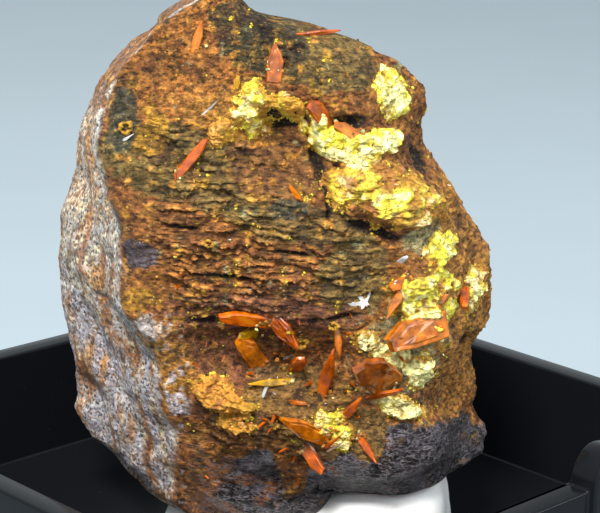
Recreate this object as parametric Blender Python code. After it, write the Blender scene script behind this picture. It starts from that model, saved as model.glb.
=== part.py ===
"""A thumbnail specimen of pyromorphite: yellow crusts and orange wulfenite blades on a rusty
rock, held upright by white putty in the tray of a small square display box.

The box stands on the XY plane with its middle on the Z axis and its sides along X and Y.
The specimen is laid out in its own turned axes, in millimetres: x to the right across its
display side, y away from the viewer into the rock, z up from the underside of the box.
"""
import math

import bmesh
import bpy
import numpy as np
from mathutils import Matrix, Vector

MM = 0.001

# Display box, millimetres
BOX_SIDE = 32.0
BOX_HEIGHT = 7.3
BOX_WALL = 1.2
BOX_FLOOR = 1.45
BOX_CORNER = 0.9
LUG_FROM = 3.3
LUG_WIDTH = 3.0
LUG_THICKNESS = 1.5
LUG_PROUD = 0.4
LUG_FOOT = 2.6
LUG_TOP = 9.0
LUG_ARC_POINTS = 13

# Specimen
SPECIMEN_TURN = math.radians(45)
GAP = 0.06
MERGES = (0.012, 0.008, 0.005, 0.003, 0.001)
ROCK_FOOT = 2.2
ROCK_TOP = 27.4
RIM_OUTSET = 0.22
CORNER_ROUNDING = 4

# Outline of the rock at each height: (height, millimetres to the right or away)
LEFT_RIM = [(2.2, -3.6), (3.0, -6.2), (4.1, -7.9), (5.1, -9.5), (6.4, -10.3), (8.9, -10.4), (13.9, -11.0),
            (18.4, -10.4), (20.5, -9.75), (22.6, -8.7), (25.2, -6.6), (27.0, -4.5), (27.4, -3.8)]
LEFT_RIM_DEPTH = [(2.2, -1.5), (3.0, 0.0), (5.1, 2.5), (8.9, 3.5), (16.0, 4.0), (20.5, 3.5), (24.2, 2.5),
                  (27.0, 1.1), (27.4, 0.6)]
FACE_EDGE = [(2.2, -3.0), (4.2, -4.6), (7.6, -4.4), (9.6, -5.2), (12.0, -5.8), (13.7, -6.9), (18.6, -7.5),
             (20.7, -8.2), (22.0, -8.4), (23.7, -7.8), (25.8, -6.1), (27.0, -4.3), (27.4, -3.6)]
FACE_EDGE_DEPTH = [(2.2, -3.0), (4.2, -4.0), (7.6, -5.0), (12.0, -5.2), (16.9, -4.6), (20.7, -3.6), (23.7, -2.6),
                   (27.0, -1.1), (27.4, -0.4)]
FACE_DEPTH = [(2.2, -2.2), (3.4, -3.9), (5.0, -4.9), (8.0, -5.4), (12.0, -5.3), (17.0, -4.8), (21.0, -3.8),
              (24.5, -2.5), (27.0, -1.0), (27.4, -0.4)]
RIGHT_RIM = [(2.2, 1.6), (3.4, 3.0), (4.4, 3.9), (4.75, 4.8), (5.0, 7.4), (5.25, 9.4), (5.7, 10.0), (6.3, 10.0),
             (7.9, 9.1), (10.3, 9.1), (11.0, 9.7), (13.7, 9.8), (16.4, 9.1), (19.3, 7.2), (20.2, 6.6), (21.4, 6.45),
             (22.7, 6.3), (23.6, 5.75), (24.2, 5.1), (24.65, 4.2), (25.1, 3.2), (25.6, 1.9), (26.0, 0.6), (26.2, -0.8),
             (26.5, -1.9), (27.0, -2.5), (27.4, -3.1)]
RIGHT_RIM_DEPTH = [(2.2, -0.6), (5.0, 0.3), (9.0, 1.2), (16.0, 1.5), (27.4, 0.4)]
BACK_DEPTH = [(2.2, 0.8), (3.4, 3.2), (5.0, 4.9), (8.0, 6.2), (14.0, 6.6), (20.0, 5.6), (24.0, 3.9), (27.0, 1.7), (27.4, 1.0)]

# Forms of the display side: (middle x, middle z, half width, half height, slant, rise)
FACE_FORMS = {
    "hollow under the arch": (-0.5, 20.7, 2.2, 1.4, -0.15, -1.3),
    "banded mass": (-1.6, 16.4, 5.4, 2.7, -0.12, 0.55),
    "hollow under the bands": (-1.0, 11.9, 4.1, 1.3, 0.0, -0.95),
    "yellow ledge": (4.5, 19.0, 2.4, 1.0, -0.32, 0.75),
    "olive band": (-4.6, 20.6, 2.8, 1.1, -0.2, 0.3),
    "upper slope": (1.6, 23.9, 2.4, 1.0, -0.3, 0.25),
    "lower swell": (-1.6, 8.7, 3.4, 1.3, 0.0, 0.45),
    "dark foot lump": (5.7, 7.3, 2.5, 1.2, 0.25, 0.85),
    "dark foot": (0.3, 5.2, 3.2, 0.9, -0.1, -0.35),
    "right shoulder pit": (6.7, 21.0, 0.9, 0.8, 0.0, -0.5),
    "right flank pit": (8.8, 11.0, 1.0, 0.7, 0.0, -0.5),
}
LEDGE_PITCH = 1.25
LEDGE_RISE = 0.2

# Columns of the rock's surface along each side of its outline, and rows up its height
SIDE_SAMPLES = (60, 50, 40, 44, 36, 36, 32, 72)
ROCK_COLUMNS = (13, 10, 7, 5, 4, 4, 4, 8)
ROCK_ROWS = 45

# Yellow crusts: points of a band on the display side (x, z, half width), and its thickness
CRUSTS = {
    "pyromorphite_crust_arch": ([(-3.2, 21.4, 0.6), (-2.2, 22.1, 0.95), (-1.1, 22.6, 1.0), (0.3, 22.7, 0.65)], 0.6),
    "pyromorphite_crust_saddle": ([(1.4, 22.1, 0.55), (2.3, 21.4, 0.85), (3.5, 21.4, 0.9), (4.6, 21.5, 0.6)], 0.65),
    "pyromorphite_crust_ledge": ([(2.0, 19.0, 0.55), (3.4, 18.9, 0.95), (5.0, 18.5, 0.9), (6.4, 17.7, 0.55)], 0.7),
    "pyromorphite_crust_shoulder": ([(4.2, 24.3, 0.4), (4.6, 23.5, 0.8), (5.0, 22.8, 0.6)], 0.5),
    "pyromorphite_crust_flank": ([(6.9, 16.6, 0.7), (6.6, 15.3, 1.0), (6.5, 13.9, 1.0), (7.1, 12.9, 0.7)], 0.6),
    "pyromorphite_crust_rim": ([(8.9, 14.6, 0.4), (8.9, 13.6, 0.5), (8.6, 12.8, 0.4)], 0.4),
    "pyromorphite_crust_hollow": ([(3.6, 12.7, 0.4), (4.6, 12.0, 0.5), (5.9, 11.8, 0.5), (6.6, 11.0, 0.4)], 0.4),
    "pyromorphite_crust_foot": ([(4.3, 9.8, 0.4), (5.3, 9.4, 0.6), (6.6, 8.8, 0.4)], 0.6),
    "pyromorphite_crust_nest": ([(1.5, 8.9, 0.4), (2.5, 8.8, 0.55), (2.9, 8.0, 0.35)], 0.4),
    "golden_crust_chunk": ([(-3.3, 9.9, 0.6), (-2.5, 9.8, 1.0), (-1.5, 9.1, 0.8), (-1.2, 8.2, 0.5)], 0.9),
}
CRUST_ROWS = 9
CRUST_COLUMNS = 14

# Wulfenite blades: root (x, z), tip (x, z), width, thickness, lift out of the face, roll about
# the length (degrees), outline
BLADES = {
    "wulfenite_needle_upper_left": ((-4.75, 19.9), (-3.6, 21.4), 0.42, 0.22, 15, 10, "chisel"),
    "wulfenite_spear_top": ((-0.68, 24.2), (-0.66, 25.25), 0.8, 0.3, 14, 0, "spear"),
    "wulfenite_sliver_apex": ((-4.2, 25.3), (-4.0, 26.2), 0.42, 0.26, 28, 5, "spear"),
    "wulfenite_curl_shoulder": ((1.8, 22.0), (0.9, 23.35), 0.75, 0.25, 30, 25, "chisel"),
    "wulfenite_chip_shoulder": ((3.05, 21.65), (2.4, 22.0), 0.5, 0.25, 35, 10, "chisel"),
    "wulfenite_chip_flank": ((5.45, 15.35), (4.75, 15.2), 0.55, 0.25, 30, 0, "chisel"),
    "wulfenite_needle_flank": ((5.35, 15.0), (4.65, 13.75), 0.42, 0.22, 24, 5, "spear"),
    "wulfenite_chip_rim": ((8.4, 14.1), (8.3, 13.2), 0.45, 0.25, 30, 0, "round"),
    "wulfenite_block_flank": ((7.0, 13.2), (4.5, 12.85), 1.35, 0.5, 24, 12, "chisel"),
    "wulfenite_plate_round": ((4.9, 10.6), (3.5, 12.1), 1.6, 0.35, 40, 0, "round"),
    "wulfenite_spear_hollow": ((1.9, 10.2), (2.3, 12.2), 0.6, 0.25, 28, -15, "spear"),
    "wulfenite_blade_under_bands": ((-0.95, 13.6), (-2.7, 13.85), 0.65, 0.3, 22, -20, "chisel"),
    "wulfenite_wedge_under_bands": ((-0.35, 13.75), (0.5, 12.7), 0.8, 0.3, 30, 15, "spear"),
    "wulfenite_block_hollow": ((-1.0, 11.2), (-1.9, 12.8), 0.9, 0.35, 30, 10, "chisel"),
    "wulfenite_plate_hollow": ((0.6, 10.95), (1.05, 12.15), 0.7, 0.22, 35, 15, "chisel"),
    "wulfenite_needle_hollow": ((0.2, 10.55), (-1.5, 10.6), 0.35, 0.25, 15, 20, "spear"),
    "wulfenite_wedge_foot": ((1.9, 8.1), (-0.1, 9.65), 0.8, 0.3, 25, 10, "spear"),
    "wulfenite_blade_nest": ((1.2, 7.6), (1.9, 6.8), 0.55, 0.25, 40, 10, "chisel"),
    "wulfenite_blade_nest_upper": ((3.0, 9.1), (3.6, 10.1), 0.42, 0.25, 30, 0, "spear"),
    "wulfenite_sliver_foot": ((3.7, 8.1), (4.6, 7.2), 0.35, 0.2, 25, 0, "spear"),
}
BLADE_OUTLINES = {
    "spear": [(0.0, -0.42), (0.55, -0.5), (1.0, -0.06), (0.97, 0.1), (0.5, 0.5), (0.0, 0.36)],
    "chisel": [(0.0, -0.45), (0.72, -0.5), (1.0, -0.1), (0.93, 0.38), (0.6, 0.5), (0.0, 0.45)],
    "round": [(0.0, -0.3), (0.2, -0.48), (0.7, -0.5), (1.0, -0.2), (1.0, 0.25), (0.7, 0.5), (0.2, 0.46), (0.0, 0.3)],
}
BLADE_ROOT = 0.45
BLADE_CHAMFER = 0.05

# Putty pad, millimetres in the specimen's axes
PUTTY_MIDDLE = (1.7, -1.1, 2.0)
PUTTY_HALF = (6.7, 4.4, 1.8)
PUTTY_SQUARENESS = 2.8
PUTTY_RIGHT_RISE = 4.4

COLORS = {
    "rusty_rock": ((0.25, 0.12, 0.05), 0.8),
    "yellow_crust": ((0.78, 0.66, 0.12), 0.6),
    "wulfenite": ((0.72, 0.2, 0.02), 0.15),
    "putty": ((0.86, 0.86, 0.84), 0.5),
    "black_plastic": ((0.01, 0.01, 0.012), 0.2),
}


def curve_through(at, knots):
    """Smooth values at heights `at` through (height, value) knots, without overshoot."""
    place, value = np.array(knots, float).T
    step = np.diff(place)
    rise = np.diff(value) / step
    slope = np.zeros(len(place))
    same_way = rise[1:] * rise[:-1] > 0
    slope[1:-1][same_way] = 2 / (1 / rise[1:][same_way] + 1 / rise[:-1][same_way])
    slope[0], slope[-1] = rise[0], rise[-1]
    at = np.clip(at, place[0], place[-1])
    k = np.clip(np.searchsorted(place, at) - 1, 0, len(step) - 1)
    t = (at - place[k]) / step[k]
    return (value[k] * (1 + 2 * t) * (1 - t) ** 2 + value[k + 1] * t * t * (3 - 2 * t)
            + step[k] * (slope[k] * t * (1 - t) ** 2 - slope[k + 1] * t * t * (1 - t)))


def between(a, b, share):
    return a + (b - a) * share


def outline_corners(z):
    """The eight corners of the rock's outline at heights z, from the left edge of the display side."""
    left, right, edge = (curve_through(z, knots) for knots in (LEFT_RIM, RIGHT_RIM, FACE_EDGE))
    left, right = left - RIM_OUTSET, right + RIM_OUTSET
    face, back = curve_through(z, FACE_DEPTH), curve_through(z, BACK_DEPTH)
    thickness = back - face
    corners = [
        (edge, curve_through(z, FACE_EDGE_DEPTH)),
        (between(edge, right, 0.42), face - 0.01 * thickness),
        (between(edge, right, 0.8), face + 0.06 * thickness),
        (right, curve_through(z, RIGHT_RIM_DEPTH)),
        (between(left, right, 0.8), back - 0.08 * thickness),
        (between(left, right, 0.5), back),
        (between(left, right, 0.22), back - 0.06 * thickness),
        (left, curve_through(z, LEFT_RIM_DEPTH)),
    ]
    return np.array([np.stack(corner, axis=1) for corner in corners])


def rounded_outline(z):
    """Closed outlines at heights z: straight sides between the corners, eased over a short stretch."""
    corners = outline_corners(z)
    sides = []
    for k, count in enumerate(SIDE_SAMPLES):
        share = np.arange(count)[:, None, None] / count
        sides.append(between(corners[k], corners[(k + 1) % len(corners)], share))
    outline = np.concatenate(sides)
    for _ in range(2):
        reach = range(-CORNER_ROUNDING, CORNER_ROUNDING + 1)
        outline = sum(np.roll(outline, shift, axis=0) for shift in reach) / len(reach)
    return outline


def soft_spot(x, z, middle_x, middle_z, half_width, half_height, slant):
    """1 inside a slanted ellipse, a half on its rim, 0 well outside it."""
    across = ((x - middle_x) * math.cos(slant) + (z - middle_z) * math.sin(slant)) / half_width
    up = ((z - middle_z) * math.cos(slant) - (x - middle_x) * math.sin(slant)) / half_height
    return 1 / (1 + (across**2 + up**2) ** 3)


def ledge_wave(x, z):
    """Bands that lean out and end in a sharp lower edge: a rounded saw of the height."""
    phase = (z + 0.12 * x + 0.3 * np.sin(0.9 * x) + 0.15 * np.sin(2.3 * x + z)) / LEDGE_PITCH
    saw = phase - np.floor(phase)
    return 1 - saw - 0.5 * np.exp(-((saw / 0.15) ** 2))


def face_relief(x, z):
    """How far the display side stands out at (x, z)."""
    relief = 0
    for *place, rise in FACE_FORMS.values():
        relief = relief + rise * soft_spot(x, z, *place)
    banded = soft_spot(x, z, -1.8, 17.0, 6.5, 4.4, -0.1)
    return relief + LEDGE_RISE * (0.35 + banded) * ledge_wave(x, z)


def stone_lumps(x, y, z):
    """Broad unevenness of broken stone: creased waves on bent axes, and a fine pair of waves."""
    across = x + 0.8 * np.sin(0.7 * z + 0.4 * y)
    up = z + 0.7 * np.sin(0.8 * x - 0.5 * y)
    return (0.36 * (np.abs(np.sin(0.5 * across + 0.25 * up + 0.4)) - 0.6)
            + 0.26 * (np.abs(np.sin(0.6 * up - 0.5 * y + 0.35 * across)) - 0.6)
            + 0.1 * np.sin(2.1 * across + 1.3 * y) * np.sin(1.7 * up))


def rock_rows(columns_per_side, heights):
    """Points of the rock's surface, one closed ring of columns at each height."""
    outline = rounded_outline(heights)
    starts = np.cumsum((0,) + SIDE_SAMPLES)
    picks = [starts[k] + np.arange(n) * SIDE_SAMPLES[k] // n for k, n in enumerate(columns_per_side)]
    turn = np.concatenate([k + np.arange(n) / n for k, n in enumerate(columns_per_side)])
    along = np.roll(outline, -2, axis=0) - np.roll(outline, 2, axis=0)
    outward = np.stack([along[..., 1], -along[..., 0]], axis=-1)
    outward /= np.linalg.norm(outward, axis=-1, keepdims=True)
    pick = np.concatenate(picks)
    outline, outward = outline[pick], outward[pick]
    x, y = outline[..., 0], outline[..., 1]
    z = np.broadcast_to(heights, x.shape)
    on_face = np.clip(turn / 0.4, 0, 1) * np.clip((3.3 - turn) / 0.5, 0, 1)
    near_ends = np.clip((z - ROCK_FOOT) / 1.2, 0, 1) * np.clip((ROCK_TOP - z) / 1.5, 0, 1)
    out = (on_face[:, None] * face_relief(x, z) + stone_lumps(x, y, z)) * near_ends
    points = np.stack([x + outward[..., 0] * out, y + outward[..., 1] * out, z], axis=-1)
    return points.transpose(1, 0, 2)


def face_point(x, z):
    """The point of the display side at (x, z), read from one fine row of the rock's surface."""
    row = rock_rows((60, 50, 40, 2, 2, 2, 2, 2), np.array([z]))[0][:150]
    return Vector((x, float(np.interp(x, row[:, 0], row[:, 1])), z))


def closed_skin(name, rings):
    """A closed mesh from rings of points, shape (rings, points, 3): quads between neighbouring
    rings and a fan to a middle point at each end."""
    rows, columns = rings.shape[:2]
    mesh = bpy.data.meshes.new(name)
    body = bmesh.new()
    grid = [[body.verts.new(point * MM) for point in ring] for ring in rings]
    for low, high in zip(grid, grid[1:]):
        for k in range(columns):
            n = (k + 1) % columns
            body.faces.new((low[k], low[n], high[n], high[k]))
    for ring, flip in ((grid[0], True), (grid[-1], False)):
        middle = body.verts.new(sum((v.co for v in ring), Vector()) / columns)
        for k in range(columns):
            pair = (ring[k], ring[(k + 1) % columns])
            body.faces.new((middle, *(pair[::-1] if flip else pair)))
    bmesh.ops.recalc_face_normals(body, faces=body.faces)
    body.to_mesh(mesh)
    body.free()
    return bpy.data.objects.new(name, mesh)


def swollen_copy(piece, distance):
    """A cutter: a copy of a piece with every point moved out along its normal."""
    mesh = piece.data.copy()
    normals = np.empty(3 * len(mesh.vertices))
    points = np.empty(3 * len(mesh.vertices))
    mesh.vertex_normals.foreach_get("vector", normals)
    mesh.vertices.foreach_get("co", points)
    mesh.vertices.foreach_set("co", points + normals * distance * MM)
    mesh.update()
    cutter = bpy.data.objects.new("cutter_" + piece.name, mesh)
    cutter.hide_render = True
    cutter.display_type = "WIRE"
    cutters.objects.link(cutter)
    return cutter


def keep_largest_body(body):
    """Deletes every loose part of a bmesh but the one with the most surface."""
    left, groups = set(body.faces), []
    while left:
        group, edge = set(), [left.pop()]
        while edge:
            face = edge.pop()
            group.add(face)
            near = {other for e in face.edges for other in e.link_faces} & left
            left -= near
            edge.extend(near)
        groups.append(group)
    largest = max(groups, key=lambda group: sum(face.calc_area() for face in group))
    spare = [face for group in groups if group is not largest for face in group]
    bmesh.ops.delete(body, geom=spare, context="FACES")
    loose = [vert for vert in body.verts if not vert.link_faces]
    bmesh.ops.delete(body, geom=loose, context="VERTS")


def apply_boolean(piece, tool, operation):
    """Cuts a piece by a tool, or joins them, keeps the largest body and merges its slivers, with the
    widest merge that leaves it closed."""
    modifier = piece.modifiers.new(operation.title(), "BOOLEAN")
    modifier.operation = operation
    modifier.object = tool
    bpy.context.view_layer.update()
    evaluated = piece.evaluated_get(bpy.context.evaluated_depsgraph_get())
    mesh = bpy.data.meshes.new_from_object(evaluated)
    piece.modifiers.remove(modifier)
    for merge in MERGES:
        body = bmesh.new()
        body.from_mesh(mesh)
        bmesh.ops.triangulate(body, faces=body.faces)
        bmesh.ops.remove_doubles(body, verts=body.verts, dist=merge * MM)
        bmesh.ops.dissolve_degenerate(body, dist=merge * MM, edges=body.edges)
        keep_largest_body(body)
        bmesh.ops.triangulate(body, faces=body.faces)
        if all(edge.is_manifold for edge in body.edges) and all(vert.is_manifold for vert in body.verts):
            break
    body.to_mesh(mesh)
    body.free()
    piece.data = mesh


def near_each_other(a, b, reach=0.1):
    """Whether the boxes round two pieces come within reach (millimetres) of each other."""
    for axis in range(3):
        low_a, high_a = min(v.co[axis] for v in a.data.vertices), max(v.co[axis] for v in a.data.vertices)
        low_b, high_b = min(v.co[axis] for v in b.data.vertices), max(v.co[axis] for v in b.data.vertices)
        if low_a > high_b + reach * MM or low_b > high_a + reach * MM:
            return False
    return True


def build_rock():
    share = np.linspace(0, 1, ROCK_ROWS)
    eased = between(share, 0.5 - 0.5 * np.cos(np.pi * share), 0.25)
    return closed_skin("rock_matrix", rock_rows(ROCK_COLUMNS, between(ROCK_FOOT, ROCK_TOP, eased)))


def build_crust(name, band, thickness):
    """A lumpy lens carried along a band on the display side, deep enough to be cut by the rock."""
    band = np.array(band)
    knots = np.linspace(0, 1, len(band))
    along = np.linspace(0, 1, CRUST_ROWS)
    x, z, half = (curve_through(along, list(zip(knots, band[:, k]))) for k in range(3))
    half = half * np.sqrt(np.clip(1 - (2 * along - 1) ** 6, 0.02, 1))
    side = np.stack([np.gradient(z), -np.gradient(x)], axis=1)
    side /= np.linalg.norm(side, axis=1, keepdims=True)
    rings = []
    for k in range(CRUST_ROWS):
        turn = np.linspace(0, 2 * np.pi, CRUST_COLUMNS, endpoint=False)
        middle = face_point(x[k], z[k])
        lump = 1 + 0.14 * np.sin(3 * turn + 2.1 * k) + 0.08 * np.sin(5 * turn - 1.7 * k)
        across = np.cos(turn) * half[k] * lump
        front = np.sin(turn)
        height = np.where(front > 0, front, 0.75 * front) * thickness * (half[k] / half.max()) ** 0.5 * lump
        ring = [(middle.x + side[k, 0] * a, face_depth_near(middle, side[k], a) - h, middle.z + side[k, 1] * a)
                for a, h in zip(across, height)]
        rings.append(ring)
    return closed_skin(name, np.array(rings))


def face_depth_near(middle, side, across):
    """Depth of the display side a step to the side of a point, eased towards that point."""
    beside = face_point(middle.x + side[0] * across, middle.z + side[1] * across)
    return between(middle.y, beside.y, 0.8)


def build_blade(name, root, tip, width, thickness, lift, roll, outline):
    """A flat crystal: a chamfered plate whose root is sunk in the face and whose tip lifts off it."""
    curve = bpy.data.curves.new(name, "CURVE")
    curve.dimensions = "2D"
    curve.fill_mode = "BOTH"
    curve.extrude = (thickness / 2 - BLADE_CHAMFER) * MM
    curve.bevel_depth = BLADE_CHAMFER * MM
    curve.bevel_resolution = 0
    curve.offset = -BLADE_CHAMFER * MM
    root_point = face_point(*root)
    flat = face_point(*tip) - root_point
    length = flat.length / math.cos(math.radians(lift))
    spline = curve.splines.new("POLY")
    points = BLADE_OUTLINES[outline]
    spline.points.add(len(points) - 1)
    spline.use_cyclic_u = True
    for spot, (along, across) in zip(spline.points, points):
        reach = between(-BLADE_ROOT, length, along)
        spot.co = (reach * MM, across * width * MM, 0, 1)
    drawing = bpy.data.objects.new(name, curve)
    specimen.objects.link(drawing)
    bpy.context.view_layer.update()
    mesh = bpy.data.meshes.new_from_object(drawing.evaluated_get(bpy.context.evaluated_depsgraph_get()))
    bpy.data.objects.remove(drawing)
    body = bmesh.new()
    body.from_mesh(mesh)
    bmesh.ops.remove_doubles(body, verts=body.verts, dist=1e-6)
    bmesh.ops.recalc_face_normals(body, faces=body.faces)
    along, viewer_way, lift_turn = flat.normalized(), Vector((0, -1, 0)), math.radians(lift)
    out = (viewer_way - along * viewer_way.dot(along)).normalized()
    length_way = along * math.cos(lift_turn) + out * math.sin(lift_turn)
    flat_way = out * math.cos(lift_turn) - along * math.sin(lift_turn)
    flat_way.rotate(Matrix.Rotation(math.radians(roll), 3, length_way))
    width_way = flat_way.cross(length_way)
    place = Matrix((length_way, width_way, flat_way)).transposed().to_4x4()
    place.translation = root_point * MM
    bmesh.ops.transform(body, matrix=place, verts=body.verts)
    body.to_mesh(mesh)
    body.free()
    return bpy.data.objects.new(name, mesh)


def build_putty():
    """A squashed, finger-pressed lump with a flat underside on the floor of the tray."""
    lump = bmesh.new()
    bmesh.ops.create_icosphere(lump, subdivisions=3, radius=1.0)
    floor = BOX_FLOOR + GAP
    for vert in lump.verts:
        way = vert.co.copy()
        fullness = sum(abs(c) ** PUTTY_SQUARENESS for c in way) ** (-1 / PUTTY_SQUARENESS)
        swell = fullness * (1 + 0.05 * math.sin(4 * way.x + 2 * way.y) + 0.04 * math.sin(5 * way.y - 3 * way.z + 1))
        spot = [PUTTY_MIDDLE[k] + PUTTY_HALF[k] * way[k] * swell for k in range(3)]
        spot[2] += max(way.z, 0) * max(way.x, 0) * PUTTY_RIGHT_RISE
        spot[2] = max(spot[2], floor)
        vert.co = Vector(spot) * MM
    bmesh.ops.dissolve_limit(lump, angle_limit=math.radians(7), verts=lump.verts, edges=lump.edges)
    bmesh.ops.triangulate(lump, faces=lump.faces)
    mesh = bpy.data.meshes.new("mounting_putty")
    lump.to_mesh(mesh)
    lump.free()
    return bpy.data.objects.new("mounting_putty", mesh)


def upright_block(name, low, high, corner):
    """A block between two corners (millimetres) with its upright edges rounded."""
    bpy.ops.mesh.primitive_cube_add(size=1)
    block = bpy.context.object
    block.name = name
    low, high = Vector(low) * MM, Vector(high) * MM
    for vert in block.data.vertices:
        vert.co = Vector(between(low[k], high[k], vert.co[k] + 0.5) for k in range(3))
    body = bmesh.new()
    body.from_mesh(block.data)
    upright = [e for e in body.edges if abs(e.verts[0].co.z - e.verts[1].co.z) > MM * 0.1]
    bmesh.ops.bevel(body, geom=upright, offset=corner * MM, segments=4, profile=0.5, affect="EDGES")
    body.to_mesh(block.data)
    body.free()
    return block


def build_box():
    """The open tray, with one small moulded lug that stands up from the middle of a wall."""
    half = BOX_SIDE / 2
    inner = half - BOX_WALL
    box = upright_block("display_box", (-half, -half, 0), (half, half, BOX_HEIGHT), BOX_CORNER)
    room = upright_block("cutter_tray_room", (-inner, -inner, BOX_FLOOR), (inner, inner, BOX_HEIGHT + 2),
                         BOX_CORNER - 0.4)
    apply_boolean(box, room, "DIFFERENCE")
    round_over = LUG_WIDTH / 2
    arc = np.linspace(0, np.pi, LUG_ARC_POINTS)
    across = LUG_FROM + round_over + round_over * np.concatenate([[1], np.cos(arc), [-1]])
    up = np.concatenate([[LUG_FOOT], LUG_TOP - round_over + round_over * np.sin(arc), [LUG_FOOT]])
    outer = half + LUG_PROUD
    lug = closed_skin("cutter_lug", np.array([np.column_stack([np.full(len(up), x), across, up])
                                              for x in (outer - LUG_THICKNESS, outer)]))
    cutters.objects.link(lug)
    apply_boolean(box, lug, "UNION")
    for tool in (room, lug):
        bpy.data.objects.remove(tool)
    return box


def finish_of(name):
    if name == "rock_matrix":
        return "rusty_rock"
    if name.startswith("wulfenite"):
        return "wulfenite"
    return {"mounting_putty": "putty", "display_box": "black_plastic"}.get(name, "yellow_crust")


def plain_material(name):
    material = bpy.data.materials.get(name)
    if material is None:
        color, roughness = COLORS[name]
        material = bpy.data.materials.new(name)
        material.use_nodes = True
        shader = material.node_tree.nodes["Principled BSDF"]
        shader.inputs["Base Color"].default_value = (*color, 1)
        shader.inputs["Roughness"].default_value = roughness
        shader.inputs["Metallic"].default_value = 0.0
    return material


for old in list(bpy.data.objects):
    bpy.data.objects.remove(old)

specimen = bpy.data.collections.new("pyromorphite")
cutters = bpy.data.collections.new("cutters")
for group in (specimen, cutters):
    bpy.context.scene.collection.children.link(group)

box = build_box()
box.users_collection[0].objects.unlink(box)
specimen.objects.link(box)

rock = build_rock()
specimen.objects.link(rock)
rock_cutter = swollen_copy(rock, GAP)

crusts, crust_cutters = [], []
for name, (band, thickness) in CRUSTS.items():
    crust = build_crust(name, band, thickness)
    specimen.objects.link(crust)
    crust_cutters.append(swollen_copy(crust, GAP))
    apply_boolean(crust, rock_cutter, "DIFFERENCE")
    crusts.append(crust)

blades = []
for name, measures in BLADES.items():
    blade = build_blade(name, *measures)
    specimen.objects.link(blade)
    for tool in [rock_cutter] + crust_cutters:
        if near_each_other(blade, tool):
            apply_boolean(blade, tool, "DIFFERENCE")
    blades.append(blade)

putty = build_putty()
specimen.objects.link(putty)
apply_boolean(putty, rock_cutter, "DIFFERENCE")

specimen_axes = bpy.data.objects.new("specimen_axes", None)
specimen_axes.rotation_euler.z = SPECIMEN_TURN
specimen.objects.link(specimen_axes)
for piece in [rock, putty] + crusts + blades:
    piece.parent = specimen_axes

for piece in list(specimen.objects):
    if piece.type == "MESH":
        piece.data.materials.clear()
        piece.data.materials.append(plain_material(finish_of(piece.name)))
for tool in list(cutters.objects):
    bpy.data.objects.remove(tool)
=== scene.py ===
"""The looks of a thumbnail pyromorphite specimen in its small black display box.

The specimen is worked out in its own turned axes, in millimetres: x to the right across its
display side, y away from the viewer into the rock, z up from the underside of the box.
"""

import math

import bmesh
import bpy
import numpy as np
from mathutils import Matrix, Vector


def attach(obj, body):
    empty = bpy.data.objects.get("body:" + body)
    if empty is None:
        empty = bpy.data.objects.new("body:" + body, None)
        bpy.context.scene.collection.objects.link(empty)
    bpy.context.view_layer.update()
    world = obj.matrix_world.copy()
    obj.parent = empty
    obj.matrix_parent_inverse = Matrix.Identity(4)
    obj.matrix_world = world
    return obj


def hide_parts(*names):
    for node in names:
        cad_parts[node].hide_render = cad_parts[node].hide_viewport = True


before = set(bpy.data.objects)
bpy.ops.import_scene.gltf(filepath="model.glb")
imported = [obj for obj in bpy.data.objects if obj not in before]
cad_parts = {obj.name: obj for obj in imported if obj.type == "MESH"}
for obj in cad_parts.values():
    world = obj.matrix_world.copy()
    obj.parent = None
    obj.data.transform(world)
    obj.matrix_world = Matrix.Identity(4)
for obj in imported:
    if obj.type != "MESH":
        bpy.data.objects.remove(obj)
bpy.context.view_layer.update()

MM = 0.001
SPECIMEN_TURN = math.radians(45)

# View: a camera in front of the box's corner, a little above
VIEW_ELEVATION = math.radians(15.909)
VIEW_ROLL = math.radians(1.6957)
VIEW_TARGET = (0.5058, 0.5058, 15.038)
VIEW_DISTANCE = 94.506
VIEW_LENS = 120.735
VIEW_SENSOR = 36.0

# The rock's outline at each height, as the solid has it: (height, millimetres)
ROCK_FOOT = 2.2
ROCK_TOP = 27.4
RIM_OUTSET = 0.22
CORNER_ROUNDING = 4
LEFT_RIM = [(2.2, -3.6), (3.0, -6.2), (4.1, -7.9), (5.1, -9.5), (6.4, -10.3), (8.9, -10.4), (13.9, -11.0),
            (18.4, -10.4), (20.5, -9.75), (22.6, -8.7), (25.2, -6.6), (27.0, -4.5), (27.4, -3.8)]
LEFT_RIM_DEPTH = [(2.2, -1.5), (3.0, 0.0), (5.1, 2.5), (8.9, 3.5), (16.0, 4.0), (20.5, 3.5), (24.2, 2.5),
                  (27.0, 1.1), (27.4, 0.6)]
FACE_EDGE = [(2.2, -3.0), (4.2, -4.6), (7.6, -4.4), (9.6, -5.2), (12.0, -5.8), (13.7, -6.9), (18.6, -7.5),
             (20.7, -8.2), (22.0, -8.4), (23.7, -7.8), (25.8, -6.1), (27.0, -4.3), (27.4, -3.6)]
FACE_EDGE_DEPTH = [(2.2, -3.0), (4.2, -4.0), (7.6, -5.0), (12.0, -5.2), (16.9, -4.6), (20.7, -3.6),
                   (23.7, -2.6), (27.0, -1.1), (27.4, -0.4)]
FACE_DEPTH = [(2.2, -2.2), (3.4, -3.9), (5.0, -4.9), (8.0, -5.4), (12.0, -5.3), (17.0, -4.8), (21.0, -3.8),
              (24.5, -2.5), (27.0, -1.0), (27.4, -0.4)]
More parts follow.
